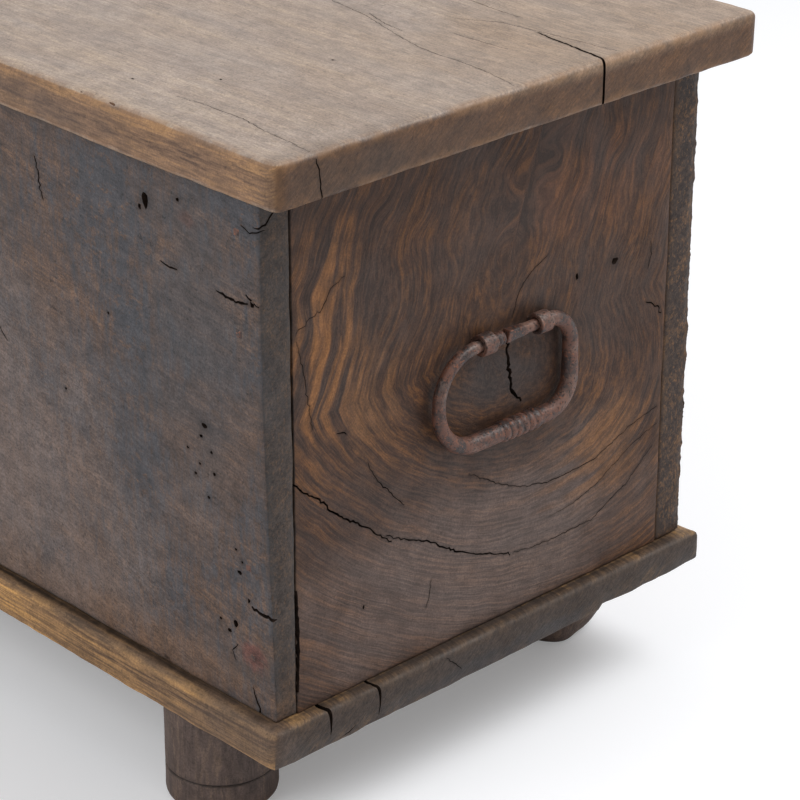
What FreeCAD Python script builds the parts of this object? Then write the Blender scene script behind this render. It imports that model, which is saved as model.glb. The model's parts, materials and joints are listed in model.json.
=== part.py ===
import FreeCAD, Part
import math
import os

from FreeCAD import Rotation, Vector

# Six-plank chest: nailed boards on round feet, a hinged lid and a forged bail handle on each end.
# Millimetres. The origin is on the floor under the middle of the chest, +X runs along its length,
# +Z is up and the front faces -Y.

# Carcass: four upright boards that stand on the bottom board
carcass_length = 1100.0
carcass_depth = 420.0  # over the foot of the front board
carcass_height = 390.0
front_foot_thickness = 19.5
front_top_thickness = 27.0
front_taper_height = 250.0  # below this height the front board is hewn thinner
front_bend_radius = 2000.0  # where that taper starts
back_thickness = 29.0
end_thickness = 36.0
arris_round = 2.5  # worn corners of the front and back boards

# Lid
lid_thickness = 33.0
lid_end_overhang = 33.0
lid_front_overhang = 22.0
lid_back_overhang = 22.0
lid_corner_round = 7.0
lid_top_round = 4.5
lid_under_round = 3.0

# Drying split at the right-hand end of the lid
lid_split_offset = 66.0  # from mid-depth, towards the back
lid_split_length = 68.0
lid_split_drift = 11.0
lid_split_width = 1.6

# Bottom board, with a rounded edge that projects all round
bottom_thickness = 30.0
bottom_projection = 12.0
bottom_flat = 1.0  # level strip between the walls and the rounded edge
bottom_corner_round = 12.0
bottom_under_ease = 2.5

# Open splits in the right-hand end of the bottom board: offset from mid-depth, length, width, drift
bottom_splits = ((-175.0, 27.0, 3.6, 4.0), (-128.0, 22.0, 3.0, 4.0))

# Feet: round, with a tenon in a stopped socket
foot_diameter = 83.0
foot_height = 81.0
foot_side_inset = 33.5  # axis, from the front or the back of the carcass
foot_end_inset = 100.0  # axis, from the end of the carcass
foot_worn_edge = 13.0  # round
foot_scribe_height = 26.0
foot_scribe_depth = 1.0
foot_scribe_width = 2.4
tenon_diameter = 36.0
tenon_length = 22.0
tenon_clearance = 0.2

# Forged nails with a faceted head and a square tapered shank
nail_head_width = 10.0
nail_head_crown = 4.0
nail_head_height = 2.4
nail_head_proud = 0.6  # wall nails are driven in until this much stands out
nail_shank_width = 5.0
nail_point_width = 1.8
nail_clearance = 0.15
nail_grip = 38.0  # length in the second board
wall_nail_line = 14.0  # from the inner face of the end board
wall_nail_rises = (45.0, 115.0)  # up from the foot of the walls
wall_nail_drops = (30.0, 101.0)  # down from the top of the walls
bottom_nail_offsets = (130.0, 350.0)  # each way from mid-length, into front and back
bottom_end_nail_offset = 90.0  # each way from mid-depth, into the ends

# Handle staples: one band bent round the bail's end, both legs through the board, clenched inside
band_width = 11.5
band_thickness = 3.2
band_slit = 0.4
eye_clearance = 0.7
eye_seat_gap = 0.4
clench_length = 18.0
staple_hole_clearance = 0.25

# Bail handle, seen along X: a loop that is rounder at the front than at the back
handle_rise = 231.0  # pivot, above the bottom board
handle_offset = 2.5  # middle of the loop, towards the back
bail_width = 143.0
bail_drop = 80.0  # pivot to the underside of the grip
front_staple_offset = 22.0
back_staple_offset = 34.0
front_bend = 35.0
back_bend = 24.0
front_stub = 17.0  # past the middle of its staple
back_stub = 36.0
bail_end_radius = 4.1
front_shoulder_radius = 4.5
front_side_radius = 5.0
back_shoulder_radius = 5.4
back_side_radius = 6.2
bail_bar_radius = 6.6
reed_radius = 7.9
reed_count = 6
reed_length = 38.0
reed_offset = 12.5  # middle of the reeded grip, towards the back
grip_board_gap = 0.5
bead_count = 3  # round the front stub
bead_radius = 5.3
blunt_length = 24.0  # hammered square at the back stub's end
blunt_width = 9.0
blunt_height = 7.4
blunt_slant = 3.0  # how far the chisel cut leans

# Strap hinges
hinge_offset = 330.0  # each way from mid-length
hinge_plate = 3.0
hinge_gap = 0.5  # knuckle to lid and to back board
knuckle_radius = 6.0
knuckle_gap = 0.5  # between knuckles, along the pin
leaf_knuckle_length = 14.0
pin_radius = 3.0
pin_clearance = 0.08
pin_head_radius = 4.8
pin_head_length = 2.5
strap_width = 30.0
strap_tip_width = 16.0
strap_reach = 160.0  # from the inner face of the back board to the middle of the round tip
strap_tip_radius = 14.0
strap_nail_insets = (30.0, 95.0)  # from the inner face of the back board; a third is in the tip
strap_nail_length = 24.0
strap_notch_side = 1.0
strap_notch_floor = 0.5
leaf_length = 84.0
leaf_clip = 12.0
leaf_upper_nail_drop = 34.0
leaf_nail_spread = 36.0
leaf_lower_nail_drop = 68.0
leaf_nail_length = 22.0

# Places that follow from the sizes
front_y = -carcass_depth / 2
front_inner_y = front_y + front_foot_thickness
front_top_y = front_inner_y - front_top_thickness
back_y = carcass_depth / 2
back_inner_y = back_y - back_thickness
end_x = carcass_length / 2
end_inner_x = end_x - end_thickness
bottom_z = foot_height
wall_z = bottom_z + bottom_thickness
lid_z = wall_z + carcass_height
lid_top_z = lid_z + lid_thickness
lid_end_x = end_x + lid_end_overhang
bottom_end_x = end_x + bottom_projection
foot_x = end_x - foot_end_inset
foot_y = back_y - foot_side_inset
nail_x = end_inner_x + wall_nail_line
eye_inner_radius = bail_end_radius + eye_clearance
eye_radius = eye_inner_radius + band_thickness
handle_x = end_x + max(eye_radius + eye_seat_gap, reed_radius + grip_board_gap)
handle_z = wall_z + handle_rise
hinge_y = back_y + knuckle_radius + hinge_gap
hinge_z = lid_z - knuckle_radius - hinge_gap
leaf_width = strap_width + 2 * (knuckle_gap + leaf_knuckle_length)

OVERSHOOT = 5.0  # how far a cutter runs past the face that it opens
TOLERANCE = 1e-6
X_AXIS = Vector(1, 0, 0)
Y_AXIS = Vector(0, 1, 0)
Z_AXIS = Vector(0, 0, 1)
SIDES = (("right", 1), ("left", -1))


# Helpers
def block(x0, x1, y0, y1, z0, z1):
    """Box between two corners."""
    return Part.makeBox(x1 - x0, y1 - y0, z1 - z0, Vector(x0, y0, z0))


def prism(points, along):
    """Closed polygon pushed along a vector."""
    return Part.Face(Part.makePolygon(points + points[:1])).extrude(along)


def rod(start, end, radius):
    """Round bar from one point to another."""
    return Part.makeCylinder(radius, (end - start).Length, start, end - start)


def fused(shapes):
    """One solid from shapes that meet."""
    return shapes[0].multiFuse(shapes[1:]).removeSplitter()


def edges_in_plane(shape, axis, place):
    """Edges that lie in the plane where an axis ("x", "y" or "z") has one value."""
    def within(edge):
        return all(abs(getattr(v.Point, axis) - place) < TOLERANCE for v in edge.Vertexes)
    return [edge for edge in shape.Edges if within(edge)]


def upright_edges(shape):
    """Straight edges that run along Z."""
    return [e for e in shape.Edges if abs(abs(e.tangentAt(e.FirstParameter).z) - 1) < TOLERANCE]


def mirrored(shape):
    """The same piece on the other end of the chest."""
    return shape.mirror(Vector(0, 0, 0), X_AXIS)


def drying_split(mouth_x, mouth_y, length, width, drift, z0, z1):
    """Wedge that opens a split from the right-hand end of a board inwards."""
    past = mouth_x + OVERSHOOT
    tip = Vector(mouth_x - length, mouth_y + drift, z0)
    points = [Vector(past, mouth_y - width / 2, z0), Vector(past, mouth_y + width / 2, z0), tip]
    return prism(points, Z_AXIS * (z1 - z0))


# Nails
class Nail:
    """One forged nail: where the underside of its head sits, the way it is driven and its length."""

    def __init__(self, seat, direction, length):
        self.seat = seat
        self.direction = direction
        self.length = length

    def _square(self, width, depth):
        half = width / 2
        corners = [Vector(-half, -half, -depth), Vector(half, -half, -depth),
                   Vector(half, half, -depth), Vector(-half, half, -depth)]
        return Part.makePolygon(corners + corners[:1])

    def _placed(self, shape):
        turn = Rotation(-Z_AXIS, self.direction)
        shape.Placement = FreeCAD.Placement(self.seat, turn)
        return shape

    def _shank(self, spare):
        top = self._square(nail_shank_width + 2 * spare, 0)
        point = self._square(nail_point_width + 2 * spare, self.length + spare)
        return Part.makeLoft([top, point], True, True)

    def solid(self):
        """The nail itself."""
        rim = self._square(nail_head_width, 0)
        crown = self._square(nail_head_crown, -nail_head_height)
        head = Part.makeLoft([rim, crown], True, True)
        return self._placed(head.fuse(self._shank(0)).removeSplitter())

    def hole(self):
        """Room for the nail in the wood: a tapered hole and a square sinking for the head."""
        width = nail_head_width + 2 * nail_clearance
        sinking = Part.makeBox(width, width, OVERSHOOT, Vector(-width / 2, -width / 2, 0))
        return self._placed(sinking.fuse(self._shank(nail_clearance)))


def nail_group(nails):
    """Separate nails that share a node."""
    return Part.makeCompound([nail.solid() for nail in nails])


def without_nails(board, nails):
    """A board with its nail holes."""
    return board.cut([nail.hole() for nail in nails])


def front_face_y(height):
    """Outer face of the front board at a height above its foot."""
    lean = front_top_y - front_y
    return front_y + lean * min(1.0, height / front_taper_height)


def wall_nail_heights():
    """Heights of the corner nails above the foot of the walls."""
    return wall_nail_rises + tuple(carcass_height - drop for drop in wall_nail_drops)


def front_nails(side):
    """Nails through the front board into one end board."""
    sunk = nail_head_height - nail_head_proud
    nails = []
    for height in wall_nail_heights():
        seat = Vector(side * nail_x, front_face_y(height) + sunk, wall_z + height)
        nails.append(Nail(seat, Y_AXIS, front_inner_y - seat.y + nail_grip))
    return nails


def back_nails(side):
    """Nails through the back board into one end board."""
    sunk = nail_head_height - nail_head_proud
    length = back_thickness - sunk + nail_grip
    return [Nail(Vector(side * nail_x, back_y - sunk, wall_z + height), -Y_AXIS, length)
            for height in wall_nail_heights()]


def bottom_nails():
    """Nails up through the bottom board into the feet of the walls, with their heads flush."""
    seat_z = bottom_z + nail_head_height
    length = bottom_thickness - nail_head_height + nail_grip
    front_line = front_y + front_foot_thickness / 2
    back_line = back_y - back_thickness / 2
    end_line = end_x - end_thickness / 2
    places = []
    for side in (1, -1):
        places += [(side * offset, line) for offset in bottom_nail_offsets for line in (front_line, back_line)]
        places += [(side * end_line, way * bottom_end_nail_offset) for way in (1, -1)]
    return [Nail(Vector(x, y, seat_z), Z_AXIS, length) for x, y in places]


def strap_nails(middle):
    """Nails up through one hinge strap into the lid."""
    insets = strap_nail_insets + (strap_reach,)
    return [Nail(Vector(middle, back_inner_y - inset, lid_z - hinge_plate), Z_AXIS, strap_nail_length)
            for inset in insets]


def leaf_nails(middle):
    """Nails through one hinge leaf into the back board."""
    upper = hinge_z - leaf_upper_nail_drop
    lower = hinge_z - leaf_lower_nail_drop
    half = leaf_nail_spread / 2
    places = ((middle - half, upper), (middle + half, upper), (middle, lower))
    return [Nail(Vector(x, back_y + hinge_plate, z), -Y_AXIS, leaf_nail_length) for x, z in places]


# Boards
def front_profile():
    """Section of the front board: upright above, hewn thinner towards its foot, with an eased bend."""
    lean = math.atan2(front_y - front_top_y, front_taper_height)
    reach = front_bend_radius * math.tan(lean / 2)
    bend_z = wall_z + front_taper_height
    foot_out = Vector(0, front_y, wall_z)
    foot_in = Vector(0, front_inner_y, wall_z)
    top_in = Vector(0, front_inner_y, lid_z)
    top_out = Vector(0, front_top_y, lid_z)
    upper = Vector(0, front_top_y, bend_z + reach)
    lower = Vector(0, front_top_y + reach * math.sin(lean), bend_z - reach * math.cos(lean))
    sagitta = front_bend_radius * (1 - math.cos(lean / 2))
    middle = (upper + lower) * 0.5 - Vector(0, math.cos(lean / 2), math.sin(lean / 2)) * sagitta
    edges = [Part.makeLine(foot_out, foot_in), Part.makeLine(foot_in, top_in),
             Part.makeLine(top_in, top_out), Part.makeLine(top_out, upper),
             Part.Arc(upper, middle, lower).toShape(), Part.makeLine(lower, foot_out)]
    return Part.Face(Part.Wire(edges))


def front_board():
    """Front plank, with worn corners and its nail holes."""
    section = front_profile()
    section.translate(X_AXIS * -end_x)
    board = section.extrude(X_AXIS * carcass_length)
    corners = []
    for side in (1, -1):
        rim = edges_in_plane(board, "x", side * end_x)
        corners += [e for e in rim if e.BoundBox.YMax < front_inner_y - TOLERANCE]
    board = board.makeFillet(arris_round, corners)
    return without_nails(board, front_nails(1) + front_nails(-1) + bottom_nails())


def back_board():
    """Back plank, notched for the hinge straps."""
    board = block(-end_x, end_x, back_inner_y, back_y, wall_z, lid_z)
    outer = [e for e in upright_edges(board) if e.BoundBox.YMin > back_inner_y + TOLERANCE]
    board = board.makeFillet(arris_round, outer)
    half = strap_width / 2 + strap_notch_side
    floor = lid_z - hinge_plate - strap_notch_floor
    notches = [block(side * hinge_offset - half, side * hinge_offset + half, back_inner_y - OVERSHOOT,
                     back_y + OVERSHOOT, floor, lid_z + OVERSHOOT) for side in (1, -1)]
    board = board.cut(notches)
    nails = back_nails(1) + back_nails(-1) + bottom_nails()
    for side in (1, -1):
        nails += leaf_nails(side * hinge_offset)
    return without_nails(board, nails)


def right_end_board():
    """Right-hand end plank between front and back, pierced for the handle's staples."""
    board = block(end_inner_x, end_x, front_inner_y, back_inner_y, wall_z, lid_z)
    half_width = band_width / 2 + staple_hole_clearance
    half_height = band_thickness + band_slit / 2 + staple_hole_clearance
    holes = [block(end_inner_x - OVERSHOOT, end_x + OVERSHOOT, y - half_width, y + half_width,
                   handle_z - half_height, handle_z + half_height) for y in staple_places().values()]
    return without_nails(board.cut(holes), front_nails(1) + back_nails(1) + bottom_nails())


def bottom_board():
    """Bottom plank with its rounded edge, sockets for the feet, nail holes and end splits."""
    front_edge = front_y - bottom_projection
    back_edge = back_y + bottom_projection
    board = block(-bottom_end_x, bottom_end_x, front_edge, back_edge, bottom_z, wall_z)
    board = board.makeFillet(bottom_corner_round, upright_edges(board))
    board = board.makeFillet(bottom_projection - bottom_flat, edges_in_plane(board, "z", wall_z))
    board = board.makeChamfer(bottom_under_ease, edges_in_plane(board, "z", bottom_z))
    socket_radius = tenon_diameter / 2 + tenon_clearance
    socket_depth = tenon_length + tenon_clearance
    cutters = [Part.makeCylinder(socket_radius, OVERSHOOT + socket_depth, Vector(x, y, bottom_z - OVERSHOOT))
               for x, y in foot_places().values()]
    for offset, length, width, drift in bottom_splits:
        cutters.append(drying_split(bottom_end_x, offset, length, width, drift,
                                    bottom_z - OVERSHOOT, wall_z + OVERSHOOT))
    return without_nails(board.cut(cutters), bottom_nails())


def lid_board():
    """Lid plank with eased edges, a drying split and holes for the strap nails."""
    lid = block(-lid_end_x, lid_end_x, front_y - lid_front_overhang, back_y + lid_back_overhang,
                lid_z, lid_top_z)
    lid = lid.makeFillet(lid_corner_round, upright_edges(lid))
    lid = lid.makeFillet(lid_top_round, edges_in_plane(lid, "z", lid_top_z))
    lid = lid.makeFillet(lid_under_round, edges_in_plane(lid, "z", lid_z))
    lid = lid.cut(drying_split(lid_end_x, lid_split_offset, lid_split_length, lid_split_width,
                               lid_split_drift, lid_z - OVERSHOOT, lid_top_z + OVERSHOOT))
    return without_nails(lid, [nail for _, side in SIDES for nail in strap_nails(side * hinge_offset)])


# Feet
def foot_places():
    """Axes of the four feet."""
    return {row + "_" + name: (side * foot_x, way * foot_y)
            for row, way in (("front", -1), ("back", 1)) for name, side in SIDES}


def foot(x, y):
    """Round foot with a worn lower edge, a scribed line and a tenon."""
    radius = foot_diameter / 2
    scribe = foot_scribe_width / 2
    tenon = tenon_diameter / 2
    flat = radius - foot_worn_edge
    crest = foot_worn_edge * math.sqrt(0.5)
    section = [(radius, foot_worn_edge), (radius, foot_scribe_height - scribe),
               (radius - foot_scribe_depth, foot_scribe_height), (radius, foot_scribe_height + scribe),
               (radius, foot_height), (tenon, foot_height), (tenon, foot_height + tenon_length),
               (0, foot_height + tenon_length), (0, 0), (flat, 0)]
    points = [Vector(r, 0, z) for r, z in section]
    worn = Part.Arc(points[-1], Vector(flat + crest, 0, foot_worn_edge - crest), points[0]).toShape()
    sides = [Part.makeLine(a, b) for a, b in zip(points, points[1:])]
    turned = Part.Face(Part.Wire(sides + [worn])).revolve(Vector(0, 0, 0), Z_AXIS, 360)
    turned.translate(Vector(x, y, 0))
    return turned


# Handle
def staple_places():
    """Middles of the two staples of the right-hand handle, along the depth."""
    return {"front": handle_offset - front_staple_offset, "back": handle_offset + back_staple_offset}


def staple(y):
    """Eye staple: a band round the bail's end, two legs through the board, clenched up and down."""
    near = y - band_width / 2
    width = Y_AXIS * band_width
    eye = Vector(handle_x, near, handle_z)
    inside = end_inner_x - band_thickness
    leg_height = band_thickness + band_slit / 2
    ring = Part.makeCylinder(eye_radius, band_width, eye, Y_AXIS)
    legs = block(inside, handle_x, near, y + band_width / 2, handle_z - leg_height, handle_z + leg_height)
    clench = block(inside, end_inner_x, near, y + band_width / 2,
                   handle_z - clench_length, handle_z + clench_length)
    hole = Part.makeCylinder(eye_inner_radius, band_width, eye, Y_AXIS)
    slit_points = [Vector(x, near, handle_z + way * band_slit / 2)
                   for x, way in ((inside - OVERSHOOT, -1), (handle_x, -1), (handle_x, 1), (inside - OVERSHOOT, 1))]
    return fused([ring, legs, clench]).cut([hole, prism(slit_points, width)])


def bail_point(y, z):
    """Point in the plane of the hanging bail."""
    return Vector(handle_x, handle_offset + y, handle_z + z)


def taper(start, end, start_radius, end_radius):
    """Round bar that changes its thickness evenly."""
    if abs(start_radius - end_radius) < TOLERANCE:
        return rod(start, end, start_radius)
    return Part.makeCone(start_radius, end_radius, (end - start).Length, start, end - start)


def bend(middle, start, end, start_radius, end_radius):
    """Quarter turn of round bar about a middle, changing its thickness evenly."""
    halfway = (start + end) * 0.5 - middle
    crest = middle + halfway * ((start - middle).Length / halfway.Length)
    arc = Part.Arc(start, crest, end).toShape()
    rings = [Part.Wire([Part.makeCircle(radius, arc.valueAt(at), arc.tangentAt(at))])
             for radius, at in ((start_radius, arc.FirstParameter), (end_radius, arc.LastParameter))]
    shell = Part.BRepOffsetAPI.MakePipeShell(Part.Wire([arc]))
    for ring in rings:
        shell.add(ring)
    shell.build()
    shell.makeSolid()
    return shell.shape()


def bail_half(way, corner, staple_offset, stub, bar_z, shoulder_radius, side_radius):
    """Half of the bail: the end in its staple, the shoulder, the side and half of the bar."""
    half_width = bail_width / 2 - side_radius
    turn = min(corner, -bar_z / 2 - TOLERANCE)
    straight = half_width - turn
    shoulder = staple_offset + band_width / 2 + eye_clearance
    end = bail_point(way * (staple_offset - stub), 0)
    collar = bail_point(way * shoulder, 0)
    top = bail_point(way * straight, 0)
    side_top = bail_point(way * half_width, -turn)
    side_low = bail_point(way * half_width, bar_z + turn)
    low = bail_point(way * straight, bar_z)
    middle = bail_point(0, bar_z)
    bulge = (shoulder_radius + side_radius) / 2
    return [rod(end, collar, bail_end_radius),
            taper(collar, top, bail_end_radius, shoulder_radius),
            bend(bail_point(way * straight, -turn), top, side_top, shoulder_radius, bulge),
            taper(side_top, side_low, bulge, side_radius),
            bend(bail_point(way * straight, bar_z + turn), side_low, low, side_radius, bail_bar_radius),
            rod(low, middle, bail_bar_radius)]


def beads(first, z, length, count, foot_radius, crest_radius):
    """Turned beads in a row along the bar."""
    pitch = length / count
    start = bail_point(first, z)
    finish = bail_point(first + length, z)
    edges = [Part.makeLine(start, start + X_AXIS * foot_radius)]
    for i in range(count):
        foot_in = bail_point(first + i * pitch, z) + X_AXIS * foot_radius
        crest = bail_point(first + (i + 0.5) * pitch, z) + X_AXIS * crest_radius
        foot_out = bail_point(first + (i + 1) * pitch, z) + X_AXIS * foot_radius
        edges.append(Part.Arc(foot_in, crest, foot_out).toShape())
    edges += [Part.makeLine(finish + X_AXIS * foot_radius, finish), Part.makeLine(finish, start)]
    return Part.Face(Part.Wire(edges)).revolve(start, Y_AXIS, 360)


def reeded_grip(bar_z):
    """Beads round the bar, where the hand closes."""
    return beads(reed_offset - reed_length / 2, bar_z, reed_length, reed_count, bail_bar_radius, reed_radius)


def beaded_stub():
    """Beads that keep the front end in its staple."""
    past_eye = band_width / 2 + eye_clearance
    return beads(past_eye - front_staple_offset, 0, front_stub - past_eye, bead_count,
                 bail_end_radius, bead_radius)


def blunt_end():
    """Back end of the bail: round at its root, hammered square and cut off slantwise with a chisel."""
    tip = bail_point(back_staple_offset - back_stub, 0)
    root = tip + Y_AXIS * blunt_length
    ways = [(1, 1), (-1, 1), (-1, -1), (1, -1)]
    square = [tip + X_AXIS * (a * blunt_height / 2) + Z_AXIS * (b * blunt_width / 2) + Y_AXIS * (b * blunt_slant / 2)
              for a, b in ways]
    reach = bail_end_radius * math.sqrt(0.5)
    corners = [root + (X_AXIS * a + Z_AXIS * b) * reach for a, b in ways]
    crests = [Z_AXIS, -X_AXIS, -Z_AXIS, X_AXIS]
    ring = [Part.Arc(start, root + crest * bail_end_radius, end).toShape()
            for start, crest, end in zip(corners, crests, corners[1:] + corners[:1])]
    sides = [Part.makeLine(a, b) for a, b in zip(square, square[1:] + square[:1])]
    return Part.makeLoft([Part.Wire(ring), Part.Wire(sides)], True, True)


def right_bail():
    """Forged bail that hangs from its two staples."""
    bar_z = bail_bar_radius - bail_drop
    pieces = bail_half(-1, front_bend, front_staple_offset, front_stub, bar_z,
                       front_shoulder_radius, front_side_radius)
    pieces += bail_half(1, back_bend, back_staple_offset, back_stub - blunt_length, bar_z,
                        back_shoulder_radius, back_side_radius)
    return fused(pieces + [reeded_grip(bar_z), beaded_stub(), blunt_end()])


# Hinges
def hinge_strap(middle):
    """Strap under the lid, with a knuckle round the pin, a taper and a round tip."""
    under = lid_z - hinge_plate
    tip_y = back_inner_y - strap_reach
    corners = ((-strap_width / 2, hinge_y), (strap_width / 2, hinge_y),
               (strap_tip_width / 2, tip_y), (-strap_tip_width / 2, tip_y))
    plate = prism([Vector(middle + x, y, under) for x, y in corners], Z_AXIS * hinge_plate)
    tip = Part.makeCylinder(strap_tip_radius, hinge_plate, Vector(middle, tip_y, under))
    start = Vector(middle - strap_width / 2, hinge_y, hinge_z)
    knuckle = Part.makeCylinder(knuckle_radius, strap_width, start, X_AXIS)
    bore = Part.makeCylinder(pin_radius + pin_clearance, strap_width, start, X_AXIS)
    strap = fused([plate, tip, knuckle]).cut(bore)
    return without_nails(strap, strap_nails(middle))


def hinge_leaf(middle):
    """Leaf on the back board, with two knuckles and clipped lower corners."""
    half = leaf_width / 2
    gap_half = strap_width / 2 + knuckle_gap
    low = hinge_z - leaf_length
    corners = ((-half, hinge_z), (-half, low + leaf_clip), (leaf_clip - half, low), (half - leaf_clip, low),
               (half, low + leaf_clip), (half, hinge_z))
    plate = prism([Vector(middle + x, back_y, z) for x, z in corners], Y_AXIS * hinge_plate)
    plate = plate.cut(block(middle - gap_half, middle + gap_half, back_y - OVERSHOOT,
                            hinge_y + knuckle_radius, hinge_z - knuckle_radius - hinge_gap, lid_z))
    starts = [Vector(middle + x, hinge_y, hinge_z) for x in (-half, gap_half)]
    knuckles = [Part.makeCylinder(knuckle_radius, leaf_knuckle_length, start, X_AXIS) for start in starts]
    bore = Part.makeCylinder(pin_radius + pin_clearance, leaf_width, starts[0], X_AXIS)
    return without_nails(fused([plate] + knuckles).cut(bore), leaf_nails(middle))


def hinge_pin(middle):
    """Pin with a peened head at each end."""
    start = Vector(middle - leaf_width / 2, hinge_y, hinge_z)
    end = start + X_AXIS * leaf_width
    return fused([rod(start, end, pin_radius),
                  rod(start - X_AXIS * pin_head_length, start, pin_head_radius),
                  rod(end, end + X_AXIS * pin_head_length, pin_head_radius)])


def all_parts():
    """Every piece by its node's name."""
    end_board = right_end_board()
    bail = right_bail()
    parts = {"front_board": front_board(), "back_board": back_board(), "bottom_board": bottom_board(),
             "lid_board": lid_board(), "right_end_board": end_board, "left_end_board": mirrored(end_board),
             "right_handle_bail": bail, "left_handle_bail": mirrored(bail),
             "bottom_nails": nail_group(bottom_nails())}
    for name, place in foot_places().items():
        parts["foot_" + name] = foot(*place)
    for name, place in staple_places().items():
        right_staple = staple(place)
        parts["right_handle_" + name + "_staple"] = right_staple
        parts["left_handle_" + name + "_staple"] = mirrored(right_staple)
    for name, side in SIDES:
        middle = side * hinge_offset
        parts["front_" + name + "_nails"] = nail_group(front_nails(side))
        parts["back_" + name + "_nails"] = nail_group(back_nails(side))
        parts[name + "_hinge_strap"] = hinge_strap(middle)
        parts[name + "_hinge_leaf"] = hinge_leaf(middle)
        parts[name + "_hinge_pin"] = hinge_pin(middle)
        parts[name + "_hinge_strap_nails"] = nail_group(strap_nails(middle))
        parts[name + "_hinge_leaf_nails"] = nail_group(leaf_nails(middle))
    return parts


os.makedirs("parts", exist_ok=True)
for node, shape in all_parts().items():
    shape.exportStep("parts/" + node + ".step")
    print(node, len(shape.Solids), "solids,", "valid" if shape.isValid() else "NOT VALID",
          "%.0f mm3" % shape.Volume)
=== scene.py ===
"""Looks of a six-plank chest: worn boards, turned feet, forged iron and a plain white studio."""

from __future__ import annotations

import json
import logging
import math
import random
from dataclasses import dataclass, field, replace
from enum import Enum
from typing import Any, Callable, Sequence

import bmesh
import bpy
import numpy as np
from mathutils import Matrix, Vector, kdtree

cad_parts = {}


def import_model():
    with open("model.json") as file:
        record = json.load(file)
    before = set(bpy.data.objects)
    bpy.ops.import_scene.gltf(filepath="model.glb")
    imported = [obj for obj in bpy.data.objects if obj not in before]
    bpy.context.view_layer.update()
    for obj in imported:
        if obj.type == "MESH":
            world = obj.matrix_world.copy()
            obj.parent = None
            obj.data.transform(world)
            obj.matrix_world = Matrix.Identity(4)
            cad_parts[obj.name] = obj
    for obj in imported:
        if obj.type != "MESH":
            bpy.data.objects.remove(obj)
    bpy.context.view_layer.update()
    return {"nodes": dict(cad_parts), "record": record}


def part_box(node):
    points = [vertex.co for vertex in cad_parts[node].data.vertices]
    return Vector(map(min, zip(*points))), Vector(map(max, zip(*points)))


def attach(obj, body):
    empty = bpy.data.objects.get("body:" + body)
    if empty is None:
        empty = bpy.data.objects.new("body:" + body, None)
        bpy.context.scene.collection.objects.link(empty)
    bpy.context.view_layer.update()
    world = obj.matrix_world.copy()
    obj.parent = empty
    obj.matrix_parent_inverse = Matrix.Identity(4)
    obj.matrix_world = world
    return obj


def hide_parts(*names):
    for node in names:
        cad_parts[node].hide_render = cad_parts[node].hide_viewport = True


MM = 0.001
LOG = logging.getLogger("chest")

Pair = tuple[float, float]
Triple = tuple[float, float, float]
Socket = bpy.types.NodeSocket
Feed = Socket | float | Sequence[float]
NEAR = 1e-5
TINY = 1e-9


# Colours
@dataclass(frozen=True)
class Shade:
    """A colour as it is seen, in steps of 0 to 255."""

    FULL = 255
    TOE = 0.04045
    TOE_SLOPE = 12.92
    LIFT = 0.055
    CURVE = 2.4
    red: float
    green: float
    blue: float

    @property
    def linear(self) -> tuple[float, float, float, float]:
        """The colour as shaders read it, by the sRGB curve.

        Returns:
            Red, green, blue and a full alpha, from 0 to 1.
        """
        steps = [value / self.FULL for value in (self.red, self.green, self.blue)]
        light = [s / self.TOE_SLOPE if s <= self.TOE
                 else ((s + self.LIFT) / (1.0 + self.LIFT)) ** self.CURVE for s in steps]
        return (light[0], light[1], light[2], 1.0)


@dataclass(frozen=True)
class Tone:
    """The dark, middle and light shades of one face of a board."""

    dark: Shade
    mid: Shade
    light: Shade


@dataclass(frozen=True)
class Patch:
    """A soft spot of another shade on a board: wear, grime, rust and halos, and also painted shadows,
    highlights and sheen.
    """

    at: Triple
    reach: Triple
    shade: Shade
    share: float
    broken: float = 60.0
    core: float = 0.3
    grained: bool = False


# Faces of a board
class Face(Enum):
    """A side of a board: its axis and the way it looks along it."""

    RIGHT = (0, 1)
    LEFT = (0, -1)
    BACK = (1, 1)
    FRONT = (1, -1)
    TOP = (2, 1)
    UNDER = (2, -1)

    @property
    def axis(self) -> int:
        """Index of the axis that the face looks along."""
        return self.value[0]

    @property
    def way(self) -> int:
        """1 or -1 along that axis."""
        return self.value[1]

    @property
    def normal(self) -> Vector:
        """Unit vector out of the board.

        Returns:
            The vector.
        """
        out = Vector((0.0, 0.0, 0.0))
        out[self.axis] = self.way
        return out

    @property
    def plane_axes(self) -> tuple[int, int]:
        """The two axes that lie in the face, in order."""
        first, second = [i for i in range(3) if i != self.axis]
        return first, second


class Figure(Enum):
    """How the annual rings run over a board."""

    STRAIGHT = "straight"
    CATHEDRAL = "cathedral"


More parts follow.
